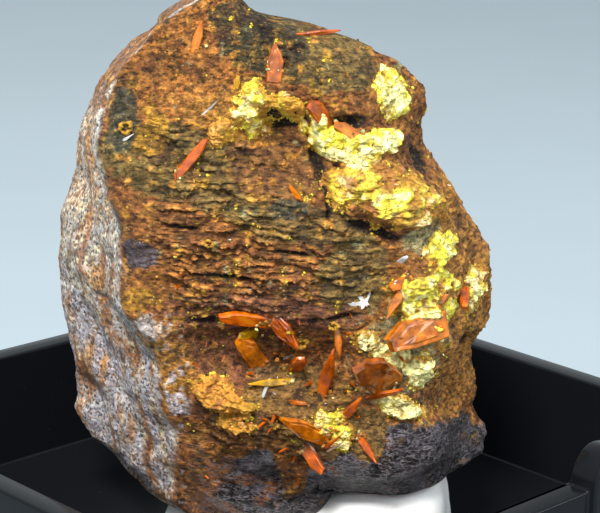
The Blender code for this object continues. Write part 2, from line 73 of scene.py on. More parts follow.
RIGHT_RIM = [(2.2, 1.6), (3.4, 3.0), (4.4, 3.9), (4.75, 4.8), (5.0, 7.4), (5.25, 9.4), (5.7, 10.0),
             (6.3, 10.0), (7.9, 9.1), (10.3, 9.1), (11.0, 9.7), (13.7, 9.8), (16.4, 9.1), (19.3, 7.2),
             (20.2, 6.6), (21.4, 6.45), (22.7, 6.3), (23.6, 5.75), (24.2, 5.1), (24.65, 4.2), (25.1, 3.2),
             (25.6, 1.9), (26.0, 0.6), (26.2, -0.8), (26.5, -1.9), (27.0, -2.5), (27.4, -3.1)]
RIGHT_RIM_DEPTH = [(2.2, -0.6), (5.0, 0.3), (9.0, 1.2), (16.0, 1.5), (27.4, 0.4)]
BACK_DEPTH = [(2.2, 0.8), (3.4, 3.2), (5.0, 4.9), (8.0, 6.2), (14.0, 6.6), (20.0, 5.6), (24.0, 3.9),
              (27.0, 1.7), (27.4, 1.0)]
# Points along each of the outline's eight sides. A place round the outline is a number from 0 to 8:
# 0 to 3 is the display side from left to right, 3 to 7 the right end and the back, and 7 to 8 the
# broken left side
SIDE_SAMPLES = (60, 50, 40, 44, 36, 36, 32, 72)

# Forms of the display side: (middle x, middle z, half width, half height, slant, rise)
FACE_FORMS = {
    "hollow under the arch": (-0.5, 20.7, 2.2, 1.4, -0.15, -1.3),
    "banded mass": (-1.6, 16.4, 5.4, 2.7, -0.12, 0.55),
    "hollow under the bands": (-1.0, 11.9, 4.1, 1.3, 0.0, -0.95),
    "yellow ledge": (4.5, 19.0, 2.4, 1.0, -0.32, 0.75),
    "olive band": (-4.6, 20.6, 2.8, 1.1, -0.2, 0.3),
    "upper slope": (1.6, 23.9, 2.4, 1.0, -0.3, 0.25),
    "lower swell": (-1.6, 8.7, 3.4, 1.3, 0.0, 0.45),
    "dark foot lump": (5.7, 7.3, 2.5, 1.2, 0.25, 0.85),
    "dark foot": (0.3, 5.2, 3.2, 0.9, -0.1, -0.35),
    "right shoulder pit": (6.7, 21.0, 0.9, 0.8, 0.0, -0.5),
    "right flank pit": (8.8, 11.0, 1.0, 0.7, 0.0, -0.5),
}
LEDGE_PITCH = 1.25
LEDGE_RISE = 0.2

# Fine surface of the rock: rows up its height, columns along each side of its outline
SKIN_ROWS = 400
SKIN_COLUMNS = (78, 62, 30, 14, 8, 8, 8, 40)
FLAKE_PITCH = 0.28
FLAKE_RISE = 0.22
ROCK_GRAIN = 0.28
FOOT_CHIP = 0.9
# The dark foot's right end is widened over the solid's: how far, at which place round the outline,
# how far to its sides, and the heights where the widening starts and is full
FOOT_WIDENING = (1.5, 3.0, 0.45, 4.8, 3.6)

# Upper edge of the dark foot: (x, z)
FOOT_EDGE = [(-5.5, 7.3), (-4.4, 7.5), (-3.75, 7.5), (-2.95, 6.8), (-1.6, 7.05), (-1.2, 7.5), (-0.5, 7.4),
             (0.0, 6.3), (0.4, 4.9), (1.1, 4.9), (1.5, 6.9), (2.4, 7.1), (2.9, 7.6), (3.6, 7.0),
             (4.5, 7.4), (4.8, 8.3), (5.5, 8.8), (6.4, 8.8), (7.2, 8.3), (8.3, 7.9), (9.4, 6.8)]

# Paints of the rock, as 0-255 screen colours
PAINT = {
    "shadow": (30, 20, 14), "rust": (150, 92, 44), "rust_light": (188, 122, 62), "rust_dark": (86, 50, 32),
    "olive": (116, 100, 52), "olive_dark": (66, 60, 38), "orange_brown": (178, 112, 48),
    "ochre": (206, 142, 62), "hollow": (140, 92, 48), "plum": (128, 78, 60), "grey": (190, 184, 178),
    "grey_light": (226, 218, 204), "grey_green": (70, 76, 60), "lavender": (186, 182, 196),
    "slate": (88, 84, 96), "foot": (50, 45, 48), "foot_light": (88, 82, 90), "yellow": (246, 232, 70),
    "yellow_pale": (255, 250, 170), "green_grey": (168, 166, 120), "ochre_yellow": (190, 140, 40),
    "back": (120, 84, 58), "white": (236, 230, 220), "golden": (216, 148, 50), "cream": (236, 220, 180),
}

# Clefts and pockets of the display side: x, z, half width, half height, slant, depth
CLEFTS = [
    (-0.3, 22.15, 1.1, 0.45, 0.1, 0.6), (0.95, 21.7, 0.2, 0.7, 0.45, 0.55),
    (1.45, 20.3, 0.2, 0.95, 0.25, 0.55), (1.85, 18.9, 0.17, 0.8, 0.1, 0.5),
    (3.9, 17.6, 1.3, 0.22, -0.35, 0.5), (2.6, 22.15, 0.85, 0.32, 0.1, 0.45),
    (-1.0, 25.9, 0.5, 0.7, 0.2, 0.22), (-0.3, 24.6, 0.35, 0.3, 0.0, 0.2), (0.4, 25.2, 0.4, 0.25, 0.3, 0.3),
    (-4.9, 24.6, 0.4, 0.16, -0.3, 0.16), (-1.7, 21.9, 0.3, 0.2, 0.0, 0.25),
    (-2.3, 9.25, 0.75, 0.14, 0.1, 0.4), (-3.0, 13.45, 1.2, 0.16, 0.0, 0.35),
    (2.2, 13.75, 1.3, 0.12, 0.05, 0.3), (-6.1, 13.2, 0.35, 0.5, 0.2, 0.25), (5.9, 20.0, 0.3, 0.6, 0.1, 0.4),
    (6.9, 21.0, 0.5, 0.25, -0.4, 0.35), (0.2, 8.9, 0.8, 0.12, -0.3, 0.3), (8.6, 11.4, 0.3, 0.5, 0.0, 0.3),
    (-4.5, 17.7, 0.9, 0.12, -0.1, 0.3), (0.5, 16.7, 1.3, 0.1, -0.1, 0.3),
    (-2.6, 15.6, 1.6, 0.1, -0.05, 0.3),
]

# Coloured patches of the display side, laid in this order: paint, strength, place (x, z, half
# width, half height, slant), raggedness of the rim, size of its noise and that noise's own number
ROCK_PATCHES = [
    ("olive", 0.85, (-3.8, 20.2, 4.6, 1.7, -0.15), 0.35, 0.8, 50),
    ("olive", 0.8, (3.2, 15.6, 1.6, 2.0, 0.0), 0.35, 0.8, 51),
    ("olive", 0.7, (0.6, 17.9, 3.4, 0.8, -0.1), 0.35, 0.8, 52),
    ("olive", 0.85, (0.4, 24.9, 3.6, 1.2, -0.15), 0.35, 0.8, 53),
    ("olive_dark", 0.9, (-1.0, 25.5, 1.9, 1.2, 0.0), 0.6, 0.6, 54),
    ("olive_dark", 0.9, (-2.5, 26.4, 1.2, 0.9, 0.0), 0.9, 0.5, 103),
    ("hollow", 0.9, (-0.4, 20.4, 2.3, 1.7, -0.15), 0.2, 0.8, 55),
    ("plum", 0.7, (-1.0, 13.9, 4.6, 1.0, 0.0), 0.35, 0.8, 56),
    ("plum", 0.5, (-2.6, 11.9, 3.0, 1.4, 0.0), 0.35, 0.8, 57),
    ("ochre", 1.0, (-5.3, 11.2, 1.4, 2.0, 0.2), 0.6, 0.6, 58),
    ("ochre", 0.8, (8.4, 14.0, 2.0, 6.5, 0.0), 0.6, 0.6, 59),
    ("green_grey", 0.8, (5.4, 12.0, 1.8, 2.4, 0.0), 0.6, 0.5, 63),
    ("golden", 0.9, (-2.6, 21.9, 1.4, 0.8, -0.3), 0.9, 0.5, 92),
    ("golden", 0.8, (6.9, 18.3, 0.8, 1.9, -0.5), 0.9, 0.5, 101),
    ("green_grey", 0.8, (5.9, 17.1, 0.9, 0.6, 0.0), 0.8, 0.5, 102),
    ("ochre", 0.8, (-3.4, 22.6, 1.5, 0.7, 0.0), 0.9, 0.5, 93),
    ("ochre_yellow", 0.9, (-6.1, 21.4, 0.8, 0.8, 0.0), 0.9, 0.5, 94),
    ("olive", 0.7, (3.0, 7.9, 2.2, 1.6, 0.0), 0.4, 0.8, 66),
    ("olive", 0.55, (0.6, 9.6, 2.6, 1.6, 0.0), 0.5, 0.8, 67),
]
# The patches laid last, over the dark rust
DARK_PATCHES = [
    ("grey_green", 0.85, (-7.4, 22.0, 0.7, 1.4), 0.4, 0.5, 64),
    ("grey_green", 0.85, (0.1, 18.6, 0.8, 0.4), 0.4, 0.5, 64),
    ("grey_green", 0.85, (-7.6, 17.6, 0.35, 0.6), 0.4, 0.5, 64),
    ("slate", 0.9, (-6.5, 16.3, 0.8, 0.7, 0.3), 0.5, 0.5, 99),
    ("ochre_yellow", 0.6, (-6.4, 14.2, 0.7, 0.6, 0.0), 0.8, 0.5, 100),
]

# Yellow crusts: the node each stands for, the stretch of the outline and of the height that their
# sheet covers, and the spots (x, z, half width, half height, slant) that they grow from
CRUSTS = {
    "arch_crust": ("pyromorphite_crust_arch", (0.2, 1.6), (20.6, 24.3),
                   [(-1.6, 22.7, 1.0, 1.1, 0.0), (-2.9, 21.7, 0.7, 0.6, 0.3), (-0.2, 22.9, 0.9, 0.55, -0.3),
                    (0.9, 22.0, 0.35, 0.9, 0.4)], 0.55),
    "saddle_crust": ("pyromorphite_crust_saddle", (1.1, 2.85), (19.9, 23.2),
                     [(1.4, 22.2, 0.4, 0.8, 0.3), (2.2, 21.2, 1.0, 0.8, 0.0), (3.3, 21.0, 1.2, 0.75, 0.05),
                      (4.4, 21.2, 0.75, 0.6, 0.1)], 0.6),
    "ledge_crust": ("pyromorphite_crust_ledge", (1.05, 2.8), (16.6, 20.6),
                    [(2.6, 19.5, 1.0, 0.95, -0.1), (4.1, 19.4, 1.5, 1.1, -0.3), (5.5, 18.4, 1.0, 0.8, -0.4)],
                    0.6),
    "shoulder_crust": ("pyromorphite_crust_shoulder", (1.9, 3.0), (21.6, 25.2),
                       [(4.4, 23.55, 0.7, 0.8, -0.2), (4.9, 22.5, 0.6, 0.7, 0.0)], 0.45),
    "flank_crust": ("pyromorphite_crust_flank", (1.75, 2.9), (11.8, 17.8),
                    [(6.9, 16.4, 0.9, 0.8, 0.0), (6.6, 14.9, 1.1, 1.1, 0.0), (6.7, 13.3, 1.3, 0.9, 0.2),
                     (5.4, 14.6, 0.6, 1.1, 0.0)], 0.5),
    "rim_crust": ("pyromorphite_crust_rim", (2.5, 3.1), (11.8, 15.8), [(8.9, 13.8, 0.6, 1.1, 0.0)], 0.4),
    "hollow_crust": ("pyromorphite_crust_hollow", (1.4, 2.7), (9.9, 13.4),
                     [(3.8, 12.6, 0.6, 0.5, 0.0), (5.0, 11.9, 1.1, 0.5, -0.1), (6.3, 11.2, 0.6, 0.9, 0.0)],
                     0.35),
    "foot_crust": ("pyromorphite_crust_foot", (1.45, 2.6), (8.1, 10.8), [(5.3, 9.5, 1.1, 0.5, -0.35)], 0.5),
    "nest_crust": ("pyromorphite_crust_nest", (1.05, 2.1), (7.2, 10.0),
                   [(2.1, 8.9, 0.9, 0.5, 0.2), (2.8, 8.1, 0.45, 0.7, 0.0)], 0.35),
    "golden_chunk": ("golden_crust_chunk", (0.05, 1.3), (7.6, 11.6),
                     [(-2.9, 10.15, 0.95, 0.75, 0.0), (-2.0, 9.55, 1.0, 0.65, -0.2),
                      (-1.9, 8.75, 1.0, 0.28, -0.05)], 0.8),
}
# How yellow, how pale and how golden each crust is
CRUST_TONES = {
    "arch_crust": (0.45, 0.1, 0.0), "saddle_crust": (0.6, 0.45, 0.0), "ledge_crust": (0.2, -0.1, 0.65),
    "shoulder_crust": (0.6, 0.5, 0.0), "flank_crust": (0.55, 0.2, 0.0), "rim_crust": (0.2, 0.3, 0.2),
    "hollow_crust": (0.0, 0.6, 0.0), "foot_crust": (0.2, 0.6, 0.0), "nest_crust": (0.5, 0.15, 0.3),
    "golden_chunk": (-0.5, -0.3, 0.8),
}
# Points along and up a crust's sheet, how deep its rim and its back lie, and its fading border
CRUST_GRID = 150
CRUST_SINK = 1.0
CRUST_BACK = 3.0
CRUST_FADE = 0.09
CRUST_BEAD = 0.24
CRUST_CRUMB = 0.42

# Wulfenite blades: root (x, z), tip (x, z), width, thickness, lift out of the face, roll about
# the length (degrees), outline and tone
BLADES = {
    "wulfenite_needle_upper_left": ((-4.75, 19.9), (-3.6, 21.4), 0.42, 0.22, 15, 10, "chisel", "orange"),
    "wulfenite_spear_top": ((-0.68, 24.2), (-0.66, 25.25), 0.8, 0.3, 14, 0, "spear", "brown"),
    "wulfenite_sliver_apex": ((-4.2, 25.3), (-4.0, 26.2), 0.42, 0.26, 28, 5, "spear", "amber"),
    "wulfenite_curl_shoulder": ((1.8, 22.0), (0.9, 23.35), 0.75, 0.25, 30, 25, "chisel", "orange"),
    "wulfenite_chip_shoulder": ((3.05, 21.65), (2.4, 22.0), 0.5, 0.25, 35, 10, "chisel", "amber"),
    "wulfenite_chip_flank": ((5.45, 15.35), (4.75, 15.2), 0.55, 0.25, 30, 0, "chisel", "amber"),
    "wulfenite_needle_flank": ((5.35, 15.0), (4.65, 13.75), 0.42, 0.22, 24, 5, "spear", "amber"),
    "wulfenite_chip_rim": ((8.4, 14.1), (8.3, 13.2), 0.45, 0.25, 30, 0, "round", "orange"),
    "wulfenite_block_flank": ((7.0, 13.2), (4.5, 12.85), 1.35, 0.5, 24, 12, "chisel", "amber"),
    "wulfenite_plate_round": ((4.9, 10.6), (3.5, 12.1), 1.6, 0.35, 40, 0, "round", "brown"),
    "wulfenite_spear_hollow": ((1.9, 10.2), (2.3, 12.2), 0.6, 0.25, 28, -15, "spear", "orange"),
    "wulfenite_blade_under_bands": ((-0.95, 13.6), (-2.7, 13.85), 0.65, 0.3, 22, -20, "chisel", "orange"),
    "wulfenite_wedge_under_bands": ((-0.35, 13.75), (0.5, 12.7), 0.8, 0.3, 30, 15, "spear", "orange"),
    "wulfenite_block_hollow": ((-1.0, 11.2), (-1.9, 12.8), 0.9, 0.35, 30, 10, "chisel", "amber"),
    "wulfenite_plate_hollow": ((0.6, 10.95), (1.05, 12.15), 0.7, 0.22, 35, 15, "chisel", "orange"),
    "wulfenite_needle_hollow": ((0.2, 10.55), (-1.5, 10.6), 0.35, 0.25, 15, 20, "spear", "yellow"),
    "wulfenite_wedge_foot": ((1.9, 8.1), (-0.1, 9.65), 0.8, 0.3, 25, 10, "spear", "amber"),
    "wulfenite_blade_nest": ((1.2, 7.6), (1.9, 6.8), 0.55, 0.25, 40, 10, "chisel", "orange"),
    "wulfenite_blade_nest_upper": ((3.0, 9.1), (3.6, 10.1), 0.42, 0.25, 30, 0, "spear", "orange"),
    "wulfenite_sliver_foot": ((3.7, 8.1), (4.6, 7.2), 0.35, 0.2, 25, 0, "spear", "orange"),
}
# Smaller crystals and glints, in the same measures, that stand for no node of the solids
SMALL_CRYSTALS = {
    "thin_blade_top": ((0.6, 25.7), (1.9, 25.75), 0.26, 0.15, 14, 20, "spear", "orange"),
    "small_blade_hollow": ((2.5, 12.95), (2.62, 11.9), 0.34, 0.16, 22, 0, "spear", "amber"),
    "yellow_chip_wedge": ((0.35, 12.85), (0.4, 13.6), 0.42, 0.2, 30, 0, "chisel", "yellow"),
    "yellow_chip_block": ((-1.2, 12.65), (-2.0, 12.95), 0.5, 0.25, 52, 0, "round", "yellow"),
    "white_sliver_hollow": ((-0.72, 10.15), (-0.55, 10.6), 0.15, 0.09, 20, 0, "chisel", "white"),
    "white_sliver_plate": ((0.15, 11.35), (0.55, 11.85), 0.13, 0.09, 20, 0, "spear", "white"),
    "sliver_nest_left": ((2.1, 7.6), (2.75, 8.4), 0.17, 0.12, 35, 0, "spear", "orange"),
    "sliver_nest_right": ((2.3, 7.5), (2.95, 8.1), 0.13, 0.1, 30, 0, "spear", "pale"),
    "pale_block_nest": ((1.35, 7.75), (1.65, 7.25), 0.3, 0.2, 25, 20, "chisel", "pale"),
    "glint_flank": ((5.2, 16.25), (5.5, 16.55), 0.24, 0.14, 30, 0, "round", "white"),
    "star_first": ((3.5, 14.55), (3.8, 14.2), 0.2, 0.12, 12, 0, "chisel", "white"),
    "star_second": ((3.75, 14.5), (3.5, 14.05), 0.2, 0.12, 12, 0, "chisel", "white"),
    "star_third": ((3.35, 14.3), (3.85, 14.3), 0.22, 0.12, 12, 0, "chisel", "white"),
    "chip_below_plate": ((4.1, 9.95), (5.45, 10.65), 0.36, 0.16, 32, 25, "spear", "orange"),
    "white_sliver_upper": ((-3.5, 22.7), (-3.1, 23.1), 0.11, 0.08, 15, 0, "spear", "white"),
    "white_sliver_left": ((-7.2, 21.2), (-6.85, 21.45), 0.13, 0.09, 20, 0, "spear", "white"),
    "yellow_chip_upper": ((-2.35, 23.65), (-2.25, 24.1), 0.28, 0.15, 30, 0, "round", "yellow"),
    "orange_chip_bands": ((0.35, 19.2), (0.85, 18.9), 0.25, 0.15, 20, 0, "chisel", "amber"),
    "brown_chip_lower": ((0.6, 9.8), (1.2, 9.75), 0.2, 0.14, 15, 0, "chisel", "brown"),
    "orange_chip_flank": ((6.7, 13.9), (7.2, 14.4), 0.3, 0.18, 25, 0, "chisel", "amber"),
}
# Outlines as (share of the length, share of the width)
BLADE_OUTLINES = {
    "spear": [(0.0, -0.42), (0.55, -0.5), (1.0, -0.06), (0.97, 0.1), (0.5, 0.5), (0.0, 0.36)],
    "chisel": [(0.0, -0.45), (0.72, -0.5), (1.0, -0.1), (0.93, 0.38), (0.6, 0.5), (0.0, 0.45)],
    "round": [(0.0, -0.3), (0.2, -0.48), (0.7, -0.5), (1.0, -0.2), (1.0, 0.25), (0.7, 0.5), (0.2, 0.46),
              (0.0, 0.3)],
}
BLADE_ROOT = 0.45
BLADE_CHAMFER = 0.05
BLADE_CHIPS = 0.018
# Linear colours of the crystals
CRYSTAL_TONES = {
    "orange": (0.84, 0.15, 0.002), "amber": (0.95, 0.25, 0.005), "yellow": (0.95, 0.5, 0.01),
    "brown": (0.62, 0.14, 0.008), "pale": (0.85, 0.55, 0.38), "white": (0.95, 0.93, 0.92),
}

# Crumbs at each blade's root, and small open curls of crystal: (x, z, radius)
ROOT_CRUMBS = 16
CURLS = {
    "curl_upper_left": (-7.2, 21.7, 0.26), "curl_left": (-3.3, 17.1, 0.17), "curl_bands": (-2.0, 14.6, 0.17),
    "curl_hollow": (0.85, 12.35, 0.26), "curl_hollow_right": (2.3, 13.4, 0.19),
}
CURL_STEPS = (28, 10)

# Loose beads and crumbs: their number, their least and largest size and their stretch. Splinters:
# their number, their least and largest length and their tone
BEAD_ROWS, BEAD_COLUMNS = 2, 5
BEADS = {
    "yellow_beads": (900, (0.03, 0.085), (1, 1, 0.8)),
    "rusty_crumbs": (3200, (0.03, 0.09), (1.3, 0.9, 0.8)),
}
SPLINTERS = {"orange_splinters": (50, (0.2, 0.5), "orange"), "pale_splinters": (18, (0.12, 0.28), "white")}
SPLINTER_SPOTS = [(4.6, 13.0, 2.4, 3.4), (0.6, 10.6, 3.4, 2.4), (2.4, 8.0, 1.8, 1.2)]

# The tray's rounded edges and the putty
TRAY_EDGE = 0.13
PUTTY_MIDDLE = (1.7, -1.1, 2.0)
PUTTY_HALF = (6.7, 4.4, 1.8)
PUTTY_SQUARENESS = 2.8
PUTTY_RIGHT_RISE = 4.4
PUTTY_FLOOR = 1.51
PUTTY_GRID = (70, 140)

# Square soft lights: azimuth from the camera and elevation, distance, size, power and colour
LIGHTS = {
    "key_light": (-20, 55, 260, 70, 0.92, (1.0, 0.97, 0.92)),
    "fill_light": (60, 35, 300, 120, 0.25, (0.95, 0.98, 1.0)),
    "low_light": (5, 26, 300, 300, 0.17, (1.0, 0.99, 0.97)),
}
SKY = (0.86, 0.95, 1.0)
SKY_STRENGTH = 0.66
FLOOR = (0.405, 0.48, 0.53)


def curve_through(at, knots):
    """Smooth values at heights `at` through (height, value) knots, without overshoot: cubic
    pieces whose slope at a knot is the harmonic mean of the rises on its two sides."""
    place, value = np.array(knots, float).T
    step = np.diff(place)
    rise = np.diff(value) / step
    slope = np.zeros(len(place))
    same_way = rise[1:] * rise[:-1] > 0
    slope[1:-1][same_way] = 2 / (1 / rise[1:][same_way] + 1 / rise[:-1][same_way])
    slope[0], slope[-1] = rise[0], rise[-1]
    at = np.clip(at, place[0], place[-1])
    k = np.clip(np.searchsorted(place, at) - 1, 0, len(step) - 1)
    t = (at - place[k]) / step[k]
    return (value[k] * (1 + 2 * t) * (1 - t) ** 2 + value[k + 1] * t * t * (3 - 2 * t)
            + step[k] * (slope[k] * t * (1 - t) ** 2 - slope[k + 1] * t * t * (1 - t)))


def between(a, b, share):
    """A mix of a and b: a where the share is 0, b where it is 1."""
    return a + (b - a) * share


def smooth_step(low, high, value):
    """0 below low, 1 above high, and an eased rise between them."""
    t = np.clip((value - low) / (high - low), 0, 1)
    return t * t * (3 - 2 * t)


def hashed(a, b, c, salt):
    """A steady pseudo-random number from 0 to 1 for each whole-number place."""
    mixed = (a.astype(np.int64) * 73856093) ^ (b.astype(np.int64) * 19349663)
    mixed = mixed ^ (c.astype(np.int64) * 83492791) ^ (salt * 2654435761)
    mixed = (mixed ^ (mixed >> 13)) * 1274126177 & 0xFFFFFFFF
    mixed = (mixed ^ (mixed >> 16)) * 2246822519 & 0xFFFFFFFF
    return ((mixed ^ (mixed >> 15)) & 0xFFFFFF) / float(0xFFFFFF)


def noise(x, y, z, size, salt=0):
    """Smooth noise from -1 to 1: random values on a lattice of the given size, eased between."""
    x, y, z = np.broadcast_arrays(x / size, y / size, z / size)
    low = [np.floor(axis) for axis in (x, y, z)]
    share = [axis - floor for axis, floor in zip((x, y, z), low)]
    share = [t * t * t * (t * (6 * t - 15) + 10) for t in share]
    total = 0
    for corner in range(8):
        step = (corner & 1, corner >> 1 & 1, corner >> 2)
        weight = 1
        for t, up in zip(share, step):
            weight = weight * (t if up else 1 - t)
        total = total + weight * hashed(low[0] + step[0], low[1] + step[1], low[2] + step[2], salt)
    return total * 2 - 1


def fractal(x, y, z, size, octaves=4, salt=0):
    """Noise added to itself at half the size and half the strength, octave by octave."""
    total, strength = 0, 0.55
    for octave in range(octaves):
        total = total + strength * noise(x, y, z, size, salt + octave)
        size, strength = size * 0.5, strength * 0.52
    return total


def cells(x, y, z, size, salt=0):
    """Distance to the nearest and second nearest scattered point, in cell sizes, and the
    nearest point's own number: one point at a random place in each lattice cube."""
    x, y, z = np.broadcast_arrays(x / size, y / size, z / size)
    base = [np.floor(axis) for axis in (x, y, z)]
    first, second, own = np.full(x.shape, 9.0), np.full(x.shape, 9.0), np.zeros(x.shape)
    for corner in range(27):
        cube = [floor + corner // 3**k % 3 - 1 for k, floor in enumerate(base)]
        steps = [axis - c - hashed(*cube, salt + 11 * k) for k, (axis, c) in enumerate(zip((x, y, z), cube))]
        gap = np.sqrt(sum(step**2 for step in steps))
        nearer = gap < first
        second = np.where(nearer, first, np.minimum(second, gap))
        own = np.where(nearer, hashed(*cube, salt + 77), own)
        first = np.where(nearer, gap, first)
    return first, second, own


def outline_corners(z):
    """The eight corners of the rock's outline at heights z, from the left edge of the display side."""
    left, right, edge = (curve_through(z, knots) for knots in (LEFT_RIM, RIGHT_RIM, FACE_EDGE))
    left, right = left - RIM_OUTSET, right + RIM_OUTSET
    face, back = curve_through(z, FACE_DEPTH), curve_through(z, BACK_DEPTH)
    thickness = back - face
    corners = [
        (edge, curve_through(z, FACE_EDGE_DEPTH)),
        (between(edge, right, 0.42), face - 0.01 * thickness),
        (between(edge, right, 0.8), face + 0.06 * thickness),
        (right, curve_through(z, RIGHT_RIM_DEPTH)),
        (between(left, right, 0.8), back - 0.08 * thickness),
        (between(left, right, 0.5), back),
        (between(left, right, 0.22), back - 0.06 * thickness),
        (left, curve_through(z, LEFT_RIM_DEPTH)),
    ]
    return np.array([np.stack(corner, axis=1) for corner in corners])


def rounded_outline(z):
    """Closed outlines at heights z: straight sides between the corners, eased over a short stretch."""
    corners = outline_corners(z)
    sides = []
    for k, count in enumerate(SIDE_SAMPLES):
        share = np.arange(count)[:, None, None] / count
        sides.append(between(corners[k], corners[(k + 1) % len(corners)], share))
    outline = np.concatenate(sides)
    for _ in range(2):
        reach = range(-CORNER_ROUNDING, CORNER_ROUNDING + 1)
        outline = sum(np.roll(outline, shift, axis=0) for shift in reach) / len(reach)
    return outline


def soft_spot(x, z, middle_x, middle_z, half_width, half_height, slant=0.0):
    """1 inside a slanted ellipse, a half on its rim, 0 well outside it."""
    across = ((x - middle_x) * math.cos(slant) + (z - middle_z) * math.sin(slant)) / half_width
    up = ((z - middle_z) * math.cos(slant) - (x - middle_x) * math.sin(slant)) / half_height
    return 1 / (1 + (across**2 + up**2) ** 3)


def ledge_wave(x, z):
    """Bands that lean out and end in a sharp lower edge: a rounded saw of the height."""
    phase = (z + 0.12 * x + 0.3 * np.sin(0.9 * x) + 0.15 * np.sin(2.3 * x + z)) / LEDGE_PITCH
    saw = phase - np.floor(phase)
    return 1 - saw - 0.5 * np.exp(-((saw / 0.15) ** 2))


def face_relief(x, z):
    """How far the display side stands out at (x, z), as on the solid."""
    relief = 0
    for *place, rise in FACE_FORMS.values():
        relief = relief + rise * soft_spot(x, z, *place)
    banded = soft_spot(x, z, -1.8, 17.0, 6.5, 4.4, -0.1)
    return relief + LEDGE_RISE * (0.35 + banded) * ledge_wave(x, z)


def stone_lumps(x, y, z):
    """Broad unevenness of broken stone: creased waves on bent axes, and a fine pair of waves."""
    across = x + 0.8 * np.sin(0.7 * z + 0.4 * y)
    up = z + 0.7 * np.sin(0.8 * x - 0.5 * y)
    return (0.36 * (np.abs(np.sin(0.5 * across + 0.25 * up + 0.4)) - 0.6)
            + 0.26 * (np.abs(np.sin(0.6 * up - 0.5 * y + 0.35 * across)) - 0.6)
            + 0.1 * np.sin(2.1 * across + 1.3 * y) * np.sin(1.7 * up))


def banded_zone(x, z):
    """Where the rock is built of thin sheets: most of the display side, least at its foot."""
    zone = soft_spot(x, z, -1.8, 16.6, 6.2, 3.6, -0.08)
    zone = np.maximum(zone, 0.75 * soft_spot(x, z, -4.2, 20.4, 3.8, 1.9, -0.15))
    zone = np.maximum(zone, 0.45 * soft_spot(x, z, -1.5, 9.0, 4.6, 2.2))
    zone = np.maximum(zone, 0.35 * soft_spot(x, z, 0.0, 24.4, 5.0, 2.2))
    return np.maximum(zone, 0.3 * soft_spot(x, z, 7.6, 14.5, 2.2, 5.0))


def flakes(x, z):
    """Thin wavy sheets, each with its own ragged front: a saw of the height whose lower edge is
    undercut, times how far that sheet reaches out at x."""
    bend = 1.2 * noise(x, z, 0.0, 2.6, 5) + 0.45 * noise(x, z, 0.0, 0.8, 6) + 0.16 * noise(x, z, 0.0, 0.25, 7)
    phase = (z + 0.08 * x) / FLAKE_PITCH + bend
    sheet = np.floor(phase)
    saw = phase - sheet
    reach = (0.5 + 0.7 * noise(x, sheet * 3.7, 0.0, 0.9, 8) + 0.5 * noise(x, sheet * 5.3, 0.0, 0.28, 9)
             + 0.35 * noise(x, sheet * 7.1, 0.0, 0.12, 10))
    profile = smooth_step(0.0, 0.2, saw) * (1 - saw) ** 0.7
    return np.clip(reach, 0, 1.3) * profile


def foot_zone(x, z):
    """1 on the dark foot, 0 on the rusty rock above it, with a ragged edge."""
    edge = curve_through(x, FOOT_EDGE) + 0.5 * fractal(x, z, 0.0, 0.8, 4, 20)
    return smooth_step(0.08, -0.08, z - edge)


def cleft_depth(x, z):
    """Depth of the clefts and pockets at (x, z), their rims broken up by noise."""
    x = x + 0.14 * fractal(x, z, 0.0, 0.5, 4, 97)
    depth = 0
    for middle_x, middle_z, half_width, half_height, slant, deep in CLEFTS:
        depth = np.maximum(depth, deep * soft_spot(x, z, middle_x, middle_z, half_width, half_height, slant))
    return depth


